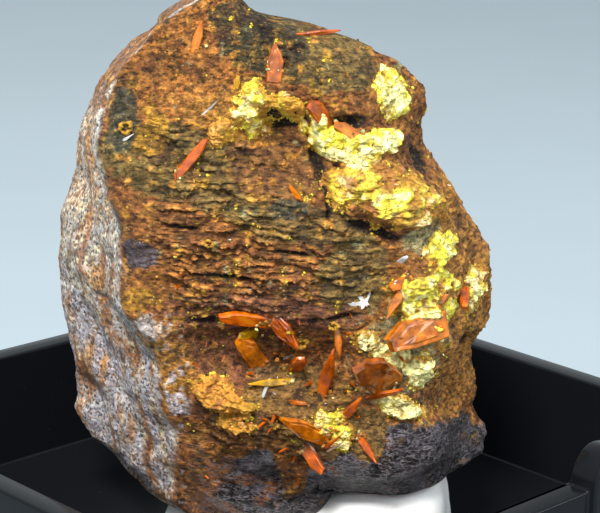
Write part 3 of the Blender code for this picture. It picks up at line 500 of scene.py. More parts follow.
def skin(turn, heights, extra=None):
    """Points of the rock's fine surface for each height and place round the outline (0 to 8,
    one for each side): the rounded outline, pushed out along its own normal by the solid's
    relief, the sheets, grains and pits, and by extra(x, y, z) where it is given."""
    outline = rounded_outline(heights)
    along = np.roll(outline, -2, axis=0) - np.roll(outline, 2, axis=0)
    outward = np.stack([along[..., 1], -along[..., 0]], axis=-1)
    outward /= np.linalg.norm(outward, axis=-1, keepdims=True)
    starts = np.cumsum((0,) + SIDE_SAMPLES)
    side = np.clip(turn.astype(int), 0, 7)
    place = starts[side] + (turn - side) * np.array(SIDE_SAMPLES)[side]
    low = np.floor(place).astype(int)
    share = (place - low)[:, None, None]
    low, high = low % starts[-1], (low + 1) % starts[-1]
    outline = between(outline[low], outline[high], share).transpose(1, 0, 2)
    outward = between(outward[low], outward[high], share).transpose(1, 0, 2)
    x, y = outline[..., 0], outline[..., 1]
    z = np.broadcast_to(heights[:, None], x.shape)
    turn = np.broadcast_to(turn, x.shape)
    on_face = np.clip(turn / 0.4, 0, 1) * np.clip((3.3 - turn) / 0.5, 0, 1)
    near_ends = np.clip((z - ROCK_FOOT) / 1.2, 0, 1) * np.clip((ROCK_TOP - z) / 1.5, 0, 1)
    coarse = on_face * face_relief(x, z) + stone_lumps(x, y, z)
    widening, middle, spread, start, full = FOOT_WIDENING
    coarse = coarse + widening * np.exp(-(((turn - middle) / spread) ** 2)) * smooth_step(start, full, z)
    ragged_rim = smooth_step(2.5, 2.8, turn) * smooth_step(3.7, 3.3, turn) * smooth_step(5.0, 6.0, z)
    foot = foot_zone(x, z) * on_face
    banded = banded_zone(x, z) * (1 - foot) * on_face
    sheets = flakes(x, z)
    grain, _, _ = cells(x, y, z, ROCK_GRAIN, 3)
    chips, chips_next, chip = cells(x, y, z, FOOT_CHIP, 4)
    rough = fractal(x, y, z, 1.1, 5, 30)
    fine = FLAKE_RISE * banded * (sheets - 0.35) * 1.7
    fine = fine + (1 - 0.7 * banded) * (1 - foot) * (0.13 * rough + 0.07 * (0.5 - grain))
    fine = fine + foot * (0.17 * (chip - 0.5) * smooth_step(0.0, 0.2, chips_next - chips) + 0.05 * rough)
    fine = fine + 0.16 * ragged_rim * fractal(x, y, z, 0.5, 4, 31)
    cleft = cleft_depth(x, z) * on_face
    rise = (coarse + fine) * near_ends - cleft
    if extra is not None:
        rise = rise + extra(x, y, z)
    droop = 0.3 * np.clip(fine, 0, 1) * banded * near_ends
    points = np.stack([x + outward[..., 0] * rise, y + outward[..., 1] * rise, z - droop], axis=-1)
    return points, {"x": x, "y": y, "z": z, "turn": turn, "on_face": on_face, "foot": foot, "banded": banded,
                    "sheets": sheets, "fine": fine, "chip": chip, "cleft": cleft}


def to_world(points):
    """From the specimen's axes in millimetres to the box's axes in metres."""
    c, s = math.cos(SPECIMEN_TURN), math.sin(SPECIMEN_TURN)
    turned = np.stack([points[..., 0] * c - points[..., 1] * s, points[..., 0] * s + points[..., 1] * c,
                       points[..., 2]], axis=-1)
    return turned * MM


def mesh_piece(name, points, faces, smooth=True):
    """An object at the origin with its place in its mesh, from points and lists of equal-sized faces."""
    mesh = bpy.data.meshes.new(name)
    corners = np.concatenate([block.ravel() for block in faces])
    sizes = np.concatenate([np.full(len(block), block.shape[1]) for block in faces])
    mesh.vertices.add(len(points))
    mesh.vertices.foreach_set("co", points.astype(np.float32).ravel())
    mesh.loops.add(len(corners))
    mesh.loops.foreach_set("vertex_index", corners.astype(np.int32))
    mesh.polygons.add(len(sizes))
    mesh.polygons.foreach_set("loop_start", (np.cumsum(sizes) - sizes).astype(np.int32))
    mesh.polygons.foreach_set("use_smooth", np.full(len(sizes), smooth))
    mesh.update(calc_edges=True)
    mesh.validate()
    piece = bpy.data.objects.new(name, mesh)
    bpy.context.scene.collection.objects.link(piece)
    return piece


def ring_faces(rows, columns, closed=True):
    """Quads between rings of points laid row after row."""
    across = np.arange(columns if closed else columns - 1)
    low = (np.arange(rows - 1) * columns)[:, None] + across
    next_low = (np.arange(rows - 1) * columns)[:, None] + (across + 1) % columns
    return np.stack([low, next_low, next_low + columns, low + columns], axis=-1).reshape(-1, 4)


def ball_faces(rows, columns):
    """Quads between rings of points and a fan at each end, to the two points that follow the rings."""
    here = np.arange(columns)
    there, top = (here + 1) % columns, (rows - 1) * columns
    foot, head = np.full(columns, rows * columns), np.full(columns, rows * columns + 1)
    fans = np.concatenate([np.stack([there, here, foot], axis=1),
                           np.stack([top + here, top + there, head], axis=1)])
    return [ring_faces(rows, columns), fans]


def closed_skin(name, rings, smooth=True):
    """A closed piece from rings (rings, points, 3): quads between rings and a fan at each end.
    The rings run anticlockwise seen from the last ring's end, so that the faces point out."""
    points = np.concatenate([rings.reshape(-1, 3), rings[0].mean(axis=0)[None], rings[-1].mean(axis=0)[None]])
    return mesh_piece(name, points, ball_faces(*rings.shape[:2]), smooth)


def linear(name):
    """A paint's colour as linear light."""
    screen = np.array(PAINT[name]) / 255
    return np.where(screen < 0.04045, screen / 12.92, ((screen + 0.055) / 1.055) ** 2.4)


def ground(name, like):
    """A paint laid all over a grid of the same shape as the given one."""
    return np.broadcast_to(linear(name), like.shape + (3,))


def paint_over(color, *layers):
    """Lays paints over a colour, one after another, each where its mask is 1."""
    for name, mask in layers:
        mask = np.clip(mask, 0, 1)[..., None]
        color = color * (1 - mask) + linear(name) * mask
    return color


def set_color(piece, color, extra_points=0, name="tint"):
    """Stores three numbers for every point of a piece, with the last ones repeated for added points."""
    color = color.reshape(-1, 3)
    color = np.concatenate([color, np.repeat(color[-1:], extra_points, axis=0)])
    layer = piece.data.color_attributes.new(name, "FLOAT_COLOR", "POINT")
    color = np.concatenate([color, np.ones((len(color), 1))], axis=1)
    layer.data.foreach_set("color", color.ravel().astype(np.float32))


def patch_mask(x, z, place, raggedness, size, salt):
    """A soft spot whose rim is broken up by noise, sharpened to a patch."""
    return smooth_step(0.42, 0.58, soft_spot(x, z, *place) + raggedness * fractal(x, z, 0.0, size, 4, salt))


def paint_patches(color, x, z, patches):
    """Lays the patches of a table over a colour, one after another."""
    layers = [(name, strength * patch_mask(x, z, *patch)) for name, strength, *patch in patches]
    return paint_over(color, *layers)


def paint_rock(parts):
    """Colour of the rock: rust with painted highlight on its sheets' outer edges and painted shade in its
    grooves and clefts, and the zones of the display side over it.
    """
    x, y, z, turn = parts["x"], parts["y"], parts["z"], parts["turn"]
    broad = fractal(x, y, z, 3.0, 4, 60)
    blotch = fractal(x, y, z, 1.0, 4, 61)
    speck = noise(x, y, z, 0.16, 62)
    color = paint_over(
        ground("rust", x),
        ("orange_brown", smooth_step(-0.1, 0.5, broad + 0.3 * blotch)),
        ("orange_brown", patch_mask(x, z, (-4.6, 23.6, 2.8, 1.7, -0.3), 0.35, 0.8, 50)),
        ("ochre", 0.45 * smooth_step(0.12, 0.4, fractal(x, y, z, 0.5, 4, 90))),
    )
    color = paint_patches(color, x, z, ROCK_PATCHES)
    color = paint_over(color, ("rust_dark", 0.6 * smooth_step(0.15, 0.5, fractal(x, y, z, 0.9, 4, 91))))
    color = paint_patches(color, x, z, DARK_PATCHES)
    # Painted highlight: the sheets' outer edges, where they stand out most, painted lighter
    sheet_highlight = parts["banded"] * smooth_step(0.25, 0.75, parts["sheets"])
    color = color * (1 + 0.55 * sheet_highlight[..., None])
    # Painted shade: darker where the fine relief sinks into the grooves between the sheets
    groove_shade = smooth_step(0.0, -0.12, parts["fine"]) * (1 - parts["foot"])
    color = color * (1 - 0.55 * groove_shade[..., None])
    color = color * (1 + 0.22 * speck[..., None])
    foot = paint_over(
        ground("foot", x),
        ("foot_light", smooth_step(0.5, 0.9, parts["chip"])),
        ("rust", smooth_step(0.12, 0.4, fractal(x, y, z, 1.6, 4, 65) - 0.1 * x + 0.1)),
    )
    yellow = smooth_step(-0.25, 0.15, yellow_cover(x, z)) * smooth_step(-0.2, 0.5, blotch + 0.3)
    color = paint_over(
        between(color, foot, parts["foot"][..., None]),
        ("ochre_yellow", 0.8 * yellow * parts["on_face"]),
        ("shadow", smooth_step(0.08, 0.26, parts["cleft"])),
    )
    return paint_sides(color, x, y, z, turn, blotch, speck)


def bare_patches(x, z):
    """1 where the grey stone shows through low on the left of the display side."""
    upper = patch_mask(x, z, (-6.0, 12.8, 0.9, 0.55, 0.2), 0.8, 0.5, 68)
    lower = patch_mask(x, z, (-4.9, 9.4, 0.95, 0.6, 0.3), 1.1, 0.45, 69)
    return np.maximum(upper, lower) * smooth_step(-3.9, -4.5, x) * smooth_step(14.0, 13.5, z)


def stone_sides(parts):
    """1 on the broken sides and the back, whose stone is of mixed grains, 0 on the display side."""
    turn = parts["turn"]
    sides = smooth_step(3.2, 3.8, turn) * (0.5 + 0.5 * smooth_step(6.8, 7.1, turn))
    sides = sides * smooth_step(7.98, 7.88, turn)
    return np.maximum(sides, 0.8 * bare_patches(parts["x"], parts["z"]) * (turn < 1.5))


def paint_sides(color, x, y, z, turn, blotch, speck):
    """The broken grey left side with its rusty streaks, cream veins and a pale edge that is a painted
    highlight, and the brown back.
    """
    streak = fractal(x * 2.6, y * 2.6, 0.55 * z, 1.6, 5, 70)
    vein = np.abs(fractal(x * 1.5, y * 1.5, 0.4 * z, 1.5, 4, 74))
    seam = np.abs(fractal(x * 1.9 + 0.1 * z, y * 1.9, 0.35 * z, 1.3, 5, 76))
    height = z + 2 * blotch
    grey = paint_over(
        ground("grey", x),
        ("grey_light", smooth_step(-0.1, 0.4, blotch)),
        ("rust_light", 0.7 * smooth_step(0.1, 0.3, streak)),
        ("rust", 0.8 * smooth_step(0.28, 0.42, streak)),
        ("cream", 0.8 * smooth_step(0.06, 0.02, vein)),
        ("rust", 0.75 * smooth_step(0.07, 0.02, seam) * smooth_step(-0.3, 0.2, blotch)),
        ("foot", 0.6 * smooth_step(0.45, 0.62, noise(x, y, z, 0.4, 71))),
        ("ochre", 0.6 * smooth_step(0.3, 0.5, fractal(x, y, z, 1.1, 4, 75))),
        ("lavender", 0.75 * smooth_step(14.5, 10.5, height) * smooth_step(0.2, -0.1, streak)),
        ("golden", 0.4 * smooth_step(15.0, 18.5, height) * smooth_step(0.0, 0.3, speck + blotch)),
    )
    grey = grey * (1.2 + 0.2 * speck[..., None])
    on_left = smooth_step(6.9, 7.15, turn + 0.15 * blotch) * smooth_step(7.98, 7.88, turn + 0.1 * blotch)
    on_left = on_left * (1 - 0.85 * smooth_step(20.8, 22.8, z + blotch))
    on_left = np.maximum(on_left, 0.85 * bare_patches(x, z) * (turn < 1.5))
    color = between(color, grey, on_left[..., None])
    # Painted highlight: a pale line near the edge where the broken left side meets the display side
    edge = np.exp(-(((turn + 0.1 * blotch - 7.88) / (0.05 + 0.04 * smooth_step(18.0, 21.0, z))) ** 2))
    color = paint_over(color, ("white", 0.9 * edge * smooth_step(-0.25, 0.1, noise(x, y, z, 0.5, 72))))
    back = paint_over(
        ground("back", x),
        ("grey", smooth_step(0.1, 0.4, streak)),
        ("rust_dark", smooth_step(0.1, 0.5, -blotch)),
    )
    back = back * (1 + 0.2 * speck[..., None])
    on_back = smooth_step(3.2, 3.7, turn + 0.3 * blotch) * smooth_step(6.95, 6.6, turn)
    return between(color, back, on_back[..., None])


def spots_cover(x, z, spots):
    """How strongly a patch grows at (x, z): the strongest of its spots, broken up by noise."""
    cover = 0
    for spot in spots:
        cover = np.maximum(cover, soft_spot(x, z, *spot))
    return cover - 0.52 + 0.5 * fractal(x, z, 0.0, 0.8, 5, 80) + 0.3 * noise(x, z, 0.0, 0.3, 81)


def yellow_cover(x, z):
    """The strongest of all the yellow crusts at (x, z)."""
    cover = -1.0
    for _, _, _, spots, _ in CRUSTS.values():
        cover = np.maximum(cover, spots_cover(x, z, spots))
    return cover


def build_rock():
    """The rock's whole skin as one closed piece, rows of rings from its foot to its top."""
    share = np.linspace(0, 1, SKIN_ROWS)
    heights = between(ROCK_FOOT, ROCK_TOP, between(share, 0.5 - 0.5 * np.cos(np.pi * share), 0.15))
    turn = np.concatenate([k + np.arange(n) / n for k, n in enumerate(SKIN_COLUMNS)])
    points, parts = skin(turn, heights)
    rock = closed_skin("rock", to_world(points))
    color = paint_rock(parts)
    set_color(rock, color, extra_points=2)
    traits = np.stack([parts["banded"], parts["foot"], stone_sides(parts)], axis=-1)
    set_color(rock, traits, extra_points=2, name="traits")
    parts["color"] = color
    return rock, points, parts


def crumb_gaps(x, y, z):
    """1 in the gaps between the crumbs of a crust, 0 on them: cells whose walls are bent by noise."""
    bend = 0.5 * fractal(x, y, z, 0.5, 4, 88)
    crumb, crumb_next, _ = cells(x + bend, y, z - bend, CRUST_CRUMB, 83)
    return smooth_step(0.2, 0.0, crumb_next - crumb) * smooth_step(-0.2, 0.2, fractal(x, y, z, 0.8, 3, 89))


def build_crust(name, turns, heights, spots, thickness):
    """A ragged crust: the rock's own surface raised by a thickness that turns negative outside
    the patch, so its rim dives into the rock, with a sunk ring and a fan behind it."""
    share = np.linspace(0, 1, CRUST_GRID)
    to_rim = np.minimum(share, 1 - share)
    fade = 0.9 * smooth_step(CRUST_FADE, 0.0, np.minimum(to_rim[:, None], to_rim[None, :]))

    def growth(x, y, z):
        cover = spots_cover(x, z, spots) - fade
        bead, _, own = cells(x, y, z, CRUST_BEAD, 82)
        gaps = crumb_gaps(x, y, z)
        body = np.clip(cover * 2.4, -0.6, 1)
        full = np.clip(body * 2, 0, 1)
        lumps = fractal(x, y, z, 0.7, 5, 84)
        return thickness * (0.5 * body + 0.6 * lumps * np.clip(body, 0, 1) - 0.2 * gaps * full) + (
            0.14 * (0.5 - bead) * (0.4 + own) * full)

    turn = np.linspace(*turns, CRUST_GRID)
    height = np.linspace(*heights, CRUST_GRID)
    points, parts = skin(turn, height, growth)
    sunk, _ = skin(turn, height, lambda x, y, z: -CRUST_SINK)
    rows, columns = points.shape[:2]
    border = np.concatenate([np.arange(columns), np.arange(1, rows) * columns + columns - 1,
                             np.arange(columns - 2, -1, -1) + (rows - 1) * columns,
                             np.arange(rows - 2, 0, -1) * columns])
    back = sunk.reshape(-1, 3)[border]
    deep = back.mean(axis=0) + (0, CRUST_BACK, 0)
    all_points = np.concatenate([points.reshape(-1, 3), back, deep[None]])
    count = len(border)
    here, there = np.arange(count), (np.arange(count) + 1) % count
    first = rows * columns
    wall = np.stack([border[here], first + here, first + there, border[there]], axis=1)
    fan = np.stack([first + there, first + here, np.full(count, first + count)], axis=1)
    piece = mesh_piece(name, to_world(all_points), [ring_faces(rows, columns, closed=False), wall, fan])
    x, y, z = parts["x"], parts["y"], parts["z"]
    set_color(piece, paint_crust(name, x, y, z, spots_cover(x, z, spots) - fade), extra_points=count + 1)
    return piece


def paint_crust(name, x, y, z, cover):
    """Colour of a crust: lemon yellow in its middle, golden and brown towards its ragged rim, with
    paler patches where it is sugary."""
    patch, speck = fractal(x, y, z, 0.9, 5, 86), fractal(x, y, z, 0.3, 3, 87)
    core, pale, golden = CRUST_TONES[name]
    sugar = cover + 0.9 * speck - 0.3 * patch
    cream = smooth_step(-1.9, -1.4, x) * smooth_step(0.35, 0.55, patch + 0.6 * speck)
    bare = smooth_step(0.12, 0.3, fractal(x, y, z, 0.45, 4, 98))
    color = paint_over(
        ground("ochre_yellow", x),
        ("rust_light", smooth_step(0.1, 0.4, speck)),
        ("yellow", smooth_step(0.35 - core, 0.75 - core, cover + 0.8 * patch)),
        ("yellow_pale", smooth_step(0.6 - pale, 0.95 - pale, sugar)),
        ("golden", golden * smooth_step(-0.1, 0.35, patch)),
        ("golden", 0.85 * smooth_step(-2.1, -2.7, x + 0.4 * speck)),
        ("golden", 0.9 * soft_spot(x + speck, z, 0.4, 22.8, 0.9, 0.8)),
        ("green_grey", 0.7 * pale * smooth_step(0.35, 0.65, -patch)),
        ("cream", 0.5 * cream),
        ("rust_light", (0.7 - 0.5 * max(pale, 0)) * crumb_gaps(x, y, z)),
        ("rust", (0.2 + 0.8 * golden) * bare),
    )
    return color * (1.08 + 0.25 * speck[..., None])


def face_point(x, z):
    """The point of the fine display side at (x, z), read from one row of the rock's skin."""
    points, _ = skin(np.linspace(0.02, 3.0, 240), np.array([z]))
    row = points[0]
    return np.array([x, np.interp(x, row[:, 0], row[:, 1]), z])


def build_blade(name, root, tip, width, thickness, lift, roll, outline, tone):
    """A flat crystal: rings of its slightly chipped outline through its thickness, the outer ones
    drawn in for the chamfer, and on a wide one a low growth step, with its root sunk in the face."""
    chance = np.random.default_rng(sum(name.encode()))
    root_point = face_point(*root)
    flat = face_point(*tip) - root_point
    lift, roll = math.radians(lift), math.radians(roll)
    length = np.linalg.norm(flat) / math.cos(lift)
    corners = np.array(BLADE_OUTLINES[outline]) * (length + BLADE_ROOT, width) - (BLADE_ROOT, 0)
    ahead = np.roll(corners, -1, axis=0)
    points = np.concatenate([between(corners, ahead, share)[:, None] for share in (0.0, 0.35, 0.7)], axis=1)
    points = points.reshape(-1, 2) + chance.normal(0, BLADE_CHIPS * width, (len(corners) * 3, 2))
    middle = points.mean(axis=0)
    half, chamfer = thickness / 2, min(BLADE_CHAMFER, 0.12 * width)
    levels = [(-half, chamfer), (chamfer - half, 0), (half - chamfer, 0), (half, chamfer)]
    if width > 0.7:
        levels += [(half, 0.17 * width), (half + 0.03, 0.22 * width)]
    rings = []
    for level, inset in levels:
        drawn = middle + (points - middle) * (1 - 2 * inset / width)
        rings.append(np.column_stack([drawn, level + chance.normal(0, 0.03 * thickness, len(drawn))]))
    rings = np.array(rings)
    along, viewer = unit(flat), np.array([0.0, -1.0, 0.0])
    out = unit(viewer - along * viewer.dot(along))
    length_way = along * math.cos(lift) + out * math.sin(lift)
    flat_way = out * math.cos(lift) - along * math.sin(lift)
    flat_way = flat_way * math.cos(roll) + np.cross(length_way, flat_way) * math.sin(roll)
    width_way = np.cross(flat_way, length_way)
    placed = root_point + rings @ np.array([length_way, width_way, flat_way])
    blade = closed_skin(name + "_crystal", to_world(placed), smooth=False)
    shade = chance.uniform(0.75, 1.25, len(blade.data.vertices))[:, None]
    set_color(blade, np.array(CRYSTAL_TONES[tone]) * shade)
    return blade


def unit(vector):
    """The same direction with length 1."""
    return vector / np.linalg.norm(vector, axis=-1, keepdims=True)


def scatter(name, spots, normals, shape, sizes, spins):
    """Copies of one small shape (points, faces) set on spots, each turned about its normal by its
    spin and scaled by its size along its three own axes, joined into one piece."""
    points, faces = shape
    side = unit(np.cross(normals, [0.13, 0.21, 0.97]))
    up = np.cross(normals, side)
    c, s = np.cos(spins)[:, None], np.sin(spins)[:, None]
    first, second = side * c + up * s, up * c - side * s
    axes = np.stack([first, second, normals], axis=1) * sizes[:, :, None]
    placed = spots[:, None, :] + np.einsum("pk,nkc->npc", points, axes)
    offsets = (np.arange(len(spots)) * len(points))[:, None, None]
    joined = [(block[None] + offsets).reshape(-1, block.shape[1]) for block in faces]
    return mesh_piece(name, to_world(placed.reshape(-1, 3)), joined, smooth=False)


def bead_shape():
    """A low ball: rings by the sine of the latitude, closed with fans."""
    lift = np.linspace(-1, 1, BEAD_ROWS + 2)[1:-1, None] * 0.5 * np.pi
    turn = np.arange(BEAD_COLUMNS) * 2 * np.pi / BEAD_COLUMNS
    rings = np.stack([np.cos(lift) * np.cos(turn), np.cos(lift) * np.sin(turn),
                      np.sin(lift) * np.ones(BEAD_COLUMNS)], axis=-1).reshape(-1, 3)
    return np.concatenate([rings, [[0, 0, -1], [0, 0, 1]]]), ball_faces(BEAD_ROWS, BEAD_COLUMNS)


def splinter_shape():
    """A thin bladed splinter standing on its root: a four-sided plate drawn to a slanting tip."""
    points = np.array([[-0.5, -0.5, -0.3], [0.5, -0.5, -0.3], [0.5, 0.5, -0.3], [-0.5, 0.5, -0.3],
                       [-0.45, -0.5, 0.6], [0.4, -0.5, 0.8], [0.4, 0.5, 0.8], [-0.45, 0.5, 0.6],
                       [0.0, 0.0, 1.0]])
    sides = np.array([[0, 1, 5, 4], [1, 2, 6, 5], [2, 3, 7, 6], [3, 0, 4, 7], [3, 2, 1, 0]])
    tip = np.array([[4, 5, 8], [5, 6, 8], [6, 7, 8], [7, 4, 8]])
    return points, [sides, tip]


def grid_normals(points):
    """Outward normals of a grid of points (rows, columns, 3) that runs up and anticlockwise."""
    return unit(np.cross(np.gradient(points, axis=1), np.gradient(points, axis=0)))


def pick_places(rng, mask, count):
    """Rows and columns of a grid drawn by lot, as likely as the mask says."""
    weight = np.clip(mask, 0, None).ravel()
    chosen = rng.choice(weight.size, count, replace=False, p=weight / weight.sum())
    return np.unravel_index(chosen, mask.shape)


class Value:
    """A shader value: an operator on it adds its Math node."""

    def __init__(self, tree, socket):
        self.tree, self.socket = tree, socket

    def node(self, kind, output, settings, *inputs):
        """Adds a node: its settings first, then the values or links of its sockets by place or name."""
        node = self.tree.nodes.new(kind)
        for key, value in settings.items():
            setattr(node, key, value)
        for place, value in inputs:
            feed(self.tree, node.inputs[place], value)
        return Value(self.tree, node.outputs[output])

    def math(self, operation, a, b):
        """One Math node."""
        return self.node("ShaderNodeMath", 0, {"operation": operation}, (0, a), (1, b))

    def __add__(self, other):
        return self.math("ADD", self, other)

    def __sub__(self, other):
        return self.math("SUBTRACT", self, other)

    def __rsub__(self, other):
        return self.math("SUBTRACT", other, self)

    def __mul__(self, other):
        return self.math("MULTIPLY", self, other)

    __radd__ = __add__
    __rmul__ = __mul__

    def rise(self, low, high):
        """0 below low, 1 above high, eased between them; it falls where high is below low."""
        return self.node("ShaderNodeMapRange", 0, {"interpolation_type": "SMOOTHSTEP"},
                         ("Value", self), ("From Min", low), ("From Max", high))

    def scaled(self, factor):
        """A colour made lighter or darker by a factor."""
        return self.node("ShaderNodeVectorMath", 0, {"operation": "SCALE"}, (0, self), ("Scale", factor))

    def between(self, first, second):
        """A colour between two: the first where this value is 0, the second where it is 1."""
        return self.node("ShaderNodeMix", 2, {"data_type": "RGBA"}, (0, self), (6, first), (7, second))

    def under(self, factor, color):
        """This colour with another laid over it by a factor."""
        return factor.between(self, color)

    def part(self, k):
        """One of the three numbers of a colour."""
        return self.node("ShaderNodeSeparateColor", k, {}, (0, self))


def feed(tree, socket, value):
    """Links a Value to a socket, or sets the socket to a plain number or colour."""
    if isinstance(value, Value):
        tree.links.new(value.socket, socket)
    elif socket.type == "RGBA":
        socket.default_value = (*value, 1)
    else:
        socket.default_value = value


class Finish:
    """A material under construction: one Principled shader and the nodes that feed it."""

    def __init__(self, name, **constants):
        self.material = bpy.data.materials.new(name)
        self.material.use_nodes = True
        self.tree = self.material.node_tree
        self.shader = self.tree.nodes["Principled BSDF"]
        self.place = Value(self.tree, None).node("ShaderNodeTexCoord", "Object", {})
        self.set(**constants)

    def grain(self, size, detail=3.0, roughness=0.6, flat=1.0):
        """Noise whose features are about the given size in millimetres, flattened upright by a factor."""
        place = self.place.node("ShaderNodeVectorMath", 0, {"operation": "MULTIPLY"},
                                (0, self.place), (1, (1, 1, flat)))
        return self.place.node("ShaderNodeTexNoise", 0, {}, ("Vector", place), ("Scale", 1 / (size * MM)),
                               ("Detail", detail), ("Roughness", roughness))

    def cells(self, size, output):
        """Grains of about the given size in millimetres: their distance or their own colour."""
        return self.place.node("ShaderNodeTexVoronoi", output, {},
                               ("Vector", self.place), ("Scale", 1 / (size * MM)))

    def attribute(self, name):
        """The three numbers that the points of a piece store under a name."""
        return self.place.node("ShaderNodeAttribute", "Color", {"attribute_name": name})

    def bump(self, height, strength, distance):
        """A Bump node: the distance is in millimetres."""
        self.set(Normal=self.place.node("ShaderNodeBump", 0, {}, ("Height", height), ("Strength", strength),
                                        ("Distance", distance * MM)))

    def absorb(self, color, density):
        """Light dims towards the colour on its way through the piece; the density is for a metre."""
        inside = self.place.node("ShaderNodeVolumeAbsorption", 0, {}, ("Color", color), ("Density", density))
        feed(self.tree, self.tree.nodes["Material Output"].inputs["Volume"], inside)

    def set(self, **inputs):
        """Feeds sockets of the shader, whose names have underscores for their spaces."""
        for key, value in inputs.items():
            feed(self.tree, self.shader.inputs[key.replace("_", " ")], value)


def rock_finish():
    """Crumbly stone: the painted tint with painted shade in the low parts of its relief (thin dark layers
    where it is banded, pits elsewhere) and painted highlight on its high parts, ochre and brown specks,
    mixed mineral grains on the broken sides, darker in their pits as painted shade, and shiny at its
    foot, with its wavy ridges painted pale as painted highlight."""
    finish = Finish("crumbly_rock", Specular_IOR_Level=0.45)
    tint, traits = finish.attribute("tint"), finish.attribute("traits")
    banded, foot, granular = traits.part(0), traits.part(1), traits.part(2)
    crumb = finish.grain(0.34, 6.0, 0.75, 1.6)
    layers = finish.grain(0.55, 6.0, 0.66, 5.0)
    relief = crumb + (layers - crumb) * (banded * 0.8)
    pits = relief.rise(0.33, 0.56)
    specks = finish.grain(0.5, 6.0, 0.72, 1.7)
    wave = finish.grain(0.55, 3.0, 0.55, 2.6) - 0.5
    ridge = 1 - (wave * wave * 400.0).rise(0.0, 1.0)
    # Painted shade and highlight: the tint darkened in the pits and low parts of the relief and lightened on
    # its high parts
    tone = 0.16 + pits * 0.66 + (relief - 0.42) * 1.9
    grain_color, grain_middle = finish.cells(0.12, "Color"), finish.cells(0.12, "Distance")
    own = grain_color.part(0)
    pale = own.rise(0.88, 0.95) * grain_middle.rise(0.5, 0.3) * specks.rise(0.45, 0.6) * (1 - foot * 0.7)
    stained = tint.under(specks.rise(0.53, 0.66) * 0.5, (0.5, 0.27, 0.05))
    stained = stained.under(specks.rise(0.46, 0.34) * 0.55, (0.13, 0.045, 0.02))
    color = tint.under(1 - foot, stained).scaled(tone).under(pale * 0.6, (0.72, 0.5, 0.2))
    minerals = tint.scaled(0.72 + own * 0.65).under(grain_color.part(1).rise(0.84, 0.88), (0.1, 0.1, 0.11))
    minerals = minerals.under(grain_color.part(2).rise(0.86, 0.9), (0.36, 0.17, 0.06))
    # Painted shade: the side's mineral grains darker in the pits of the relief
    color = color.under(granular * 0.85, minerals.scaled(0.6 + pits * 0.5))
    # Painted highlight: the foot's wavy ridges painted pale
    color = color.under(foot * ridge * 0.7, (0.3, 0.27, 0.3))
    finish.set(Base_Color=color, Roughness=0.85 - foot * 0.6 + (crumb - 0.5) * 0.5)
    finish.bump(relief * 0.8 + pits * 0.3 - grain_middle * 0.2 + ridge * foot * 1.3, 1.0, 0.17)
    return finish.material


def crust_finish():
    """Sugary crust: the painted tint with a fine sparkle of lighter and darker grains, and painted shade in
    its pits.
    """
    finish = Finish("sugary_crust")
    fine, sugar = finish.grain(0.2, 5.0, 0.68), finish.grain(0.06, 2.0)
    pits = fine.rise(0.36, 0.5)
    shaded = finish.attribute("tint").scaled(0.8 + sugar * 0.5)
    # Painted shade: dark brown laid into the crust's pits, where the relief sinks
    color = shaded.under((1 - pits) * 0.5, (0.3, 0.17, 0.02))
    finish.set(Base_Color=color, Roughness=0.4 + sugar * 0.4)
    finish.bump(fine * 0.7 + sugar * 0.3 + pits * 0.3, 1.0, 0.13)
    return finish.material


def wulfenite_finish():
    """Clear orange crystal: its tint painted bright and dark in patches, with bright orange spots, as painted
    light for light passing through it, and with sharp glints.
    """
    finish = Finish("clear_orange_crystal", IOR=2.28, Transmission_Weight=0.4, Specular_IOR_Level=0.07)
    veil, scratch = finish.grain(0.4, 4.0, 0.65), finish.grain(0.1, 3.0)
    zone = finish.grain(0.9, 2.0)
    # Painted light: the tint made brighter and darker in patches, and bright orange spots laid over it, for
    # light passing through the crystal
    color = finish.attribute("tint").scaled(0.3 + veil.rise(0.3, 0.7) * 0.5 + zone.rise(0.35, 0.65) * 0.6)
    color = color.under(zone.rise(0.55, 0.7) * veil.rise(0.45, 0.6) * 0.5, (1.0, 0.42, 0.01))
    finish.set(Base_Color=color, Roughness=0.02 + veil * 0.07)
    finish.absorb((1.0, 0.42, 0.06), 900.0)
    finish.bump(veil * 0.7 + scratch * 0.3, 0.7, 0.035)
    return finish.material


def floor_finish():
    """A pale, matt floor with faint grain in its shade, gloss and surface."""
    finish = Finish("pale_floor")
    fine = finish.grain(30.0)
    shade = fine.rise(0.3, 0.7).between(np.array(FLOOR) * 0.97, FLOOR)
    finish.set(Base_Color=shade, Roughness=0.8 + (fine - 0.5) * 0.2)
    finish.bump(fine, 0.5, 0.05)
    return finish.material


def plastic_finish():
    """Black moulded plastic: glossy, with faint handling marks and a little dust in its gloss."""
    finish = Finish("black_moulded_plastic", Specular_IOR_Level=0.16)
    marks, dust = finish.grain(4.0, 5.0), finish.grain(0.2, 4.0)
    lint = dust.rise(0.66, 0.78)
    color = (lint * 0.12).between((0.006, 0.007, 0.009), (0.35, 0.35, 0.36))
    finish.set(Base_Color=color, Roughness=0.08 + marks * 0.2 + lint * 0.2)
    finish.bump(marks, 0.25, 0.03)
    return finish.material


def dress(piece, material, node=None, slot=None):
    """Gives a new piece its material and the body it rides on, and hides the part of the solids that it
    stands for; the slot argument is not used.
    """
    piece.data.materials.clear()
    piece.data.materials.append(material)
    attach(piece, "root")
    if node:
        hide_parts(node)


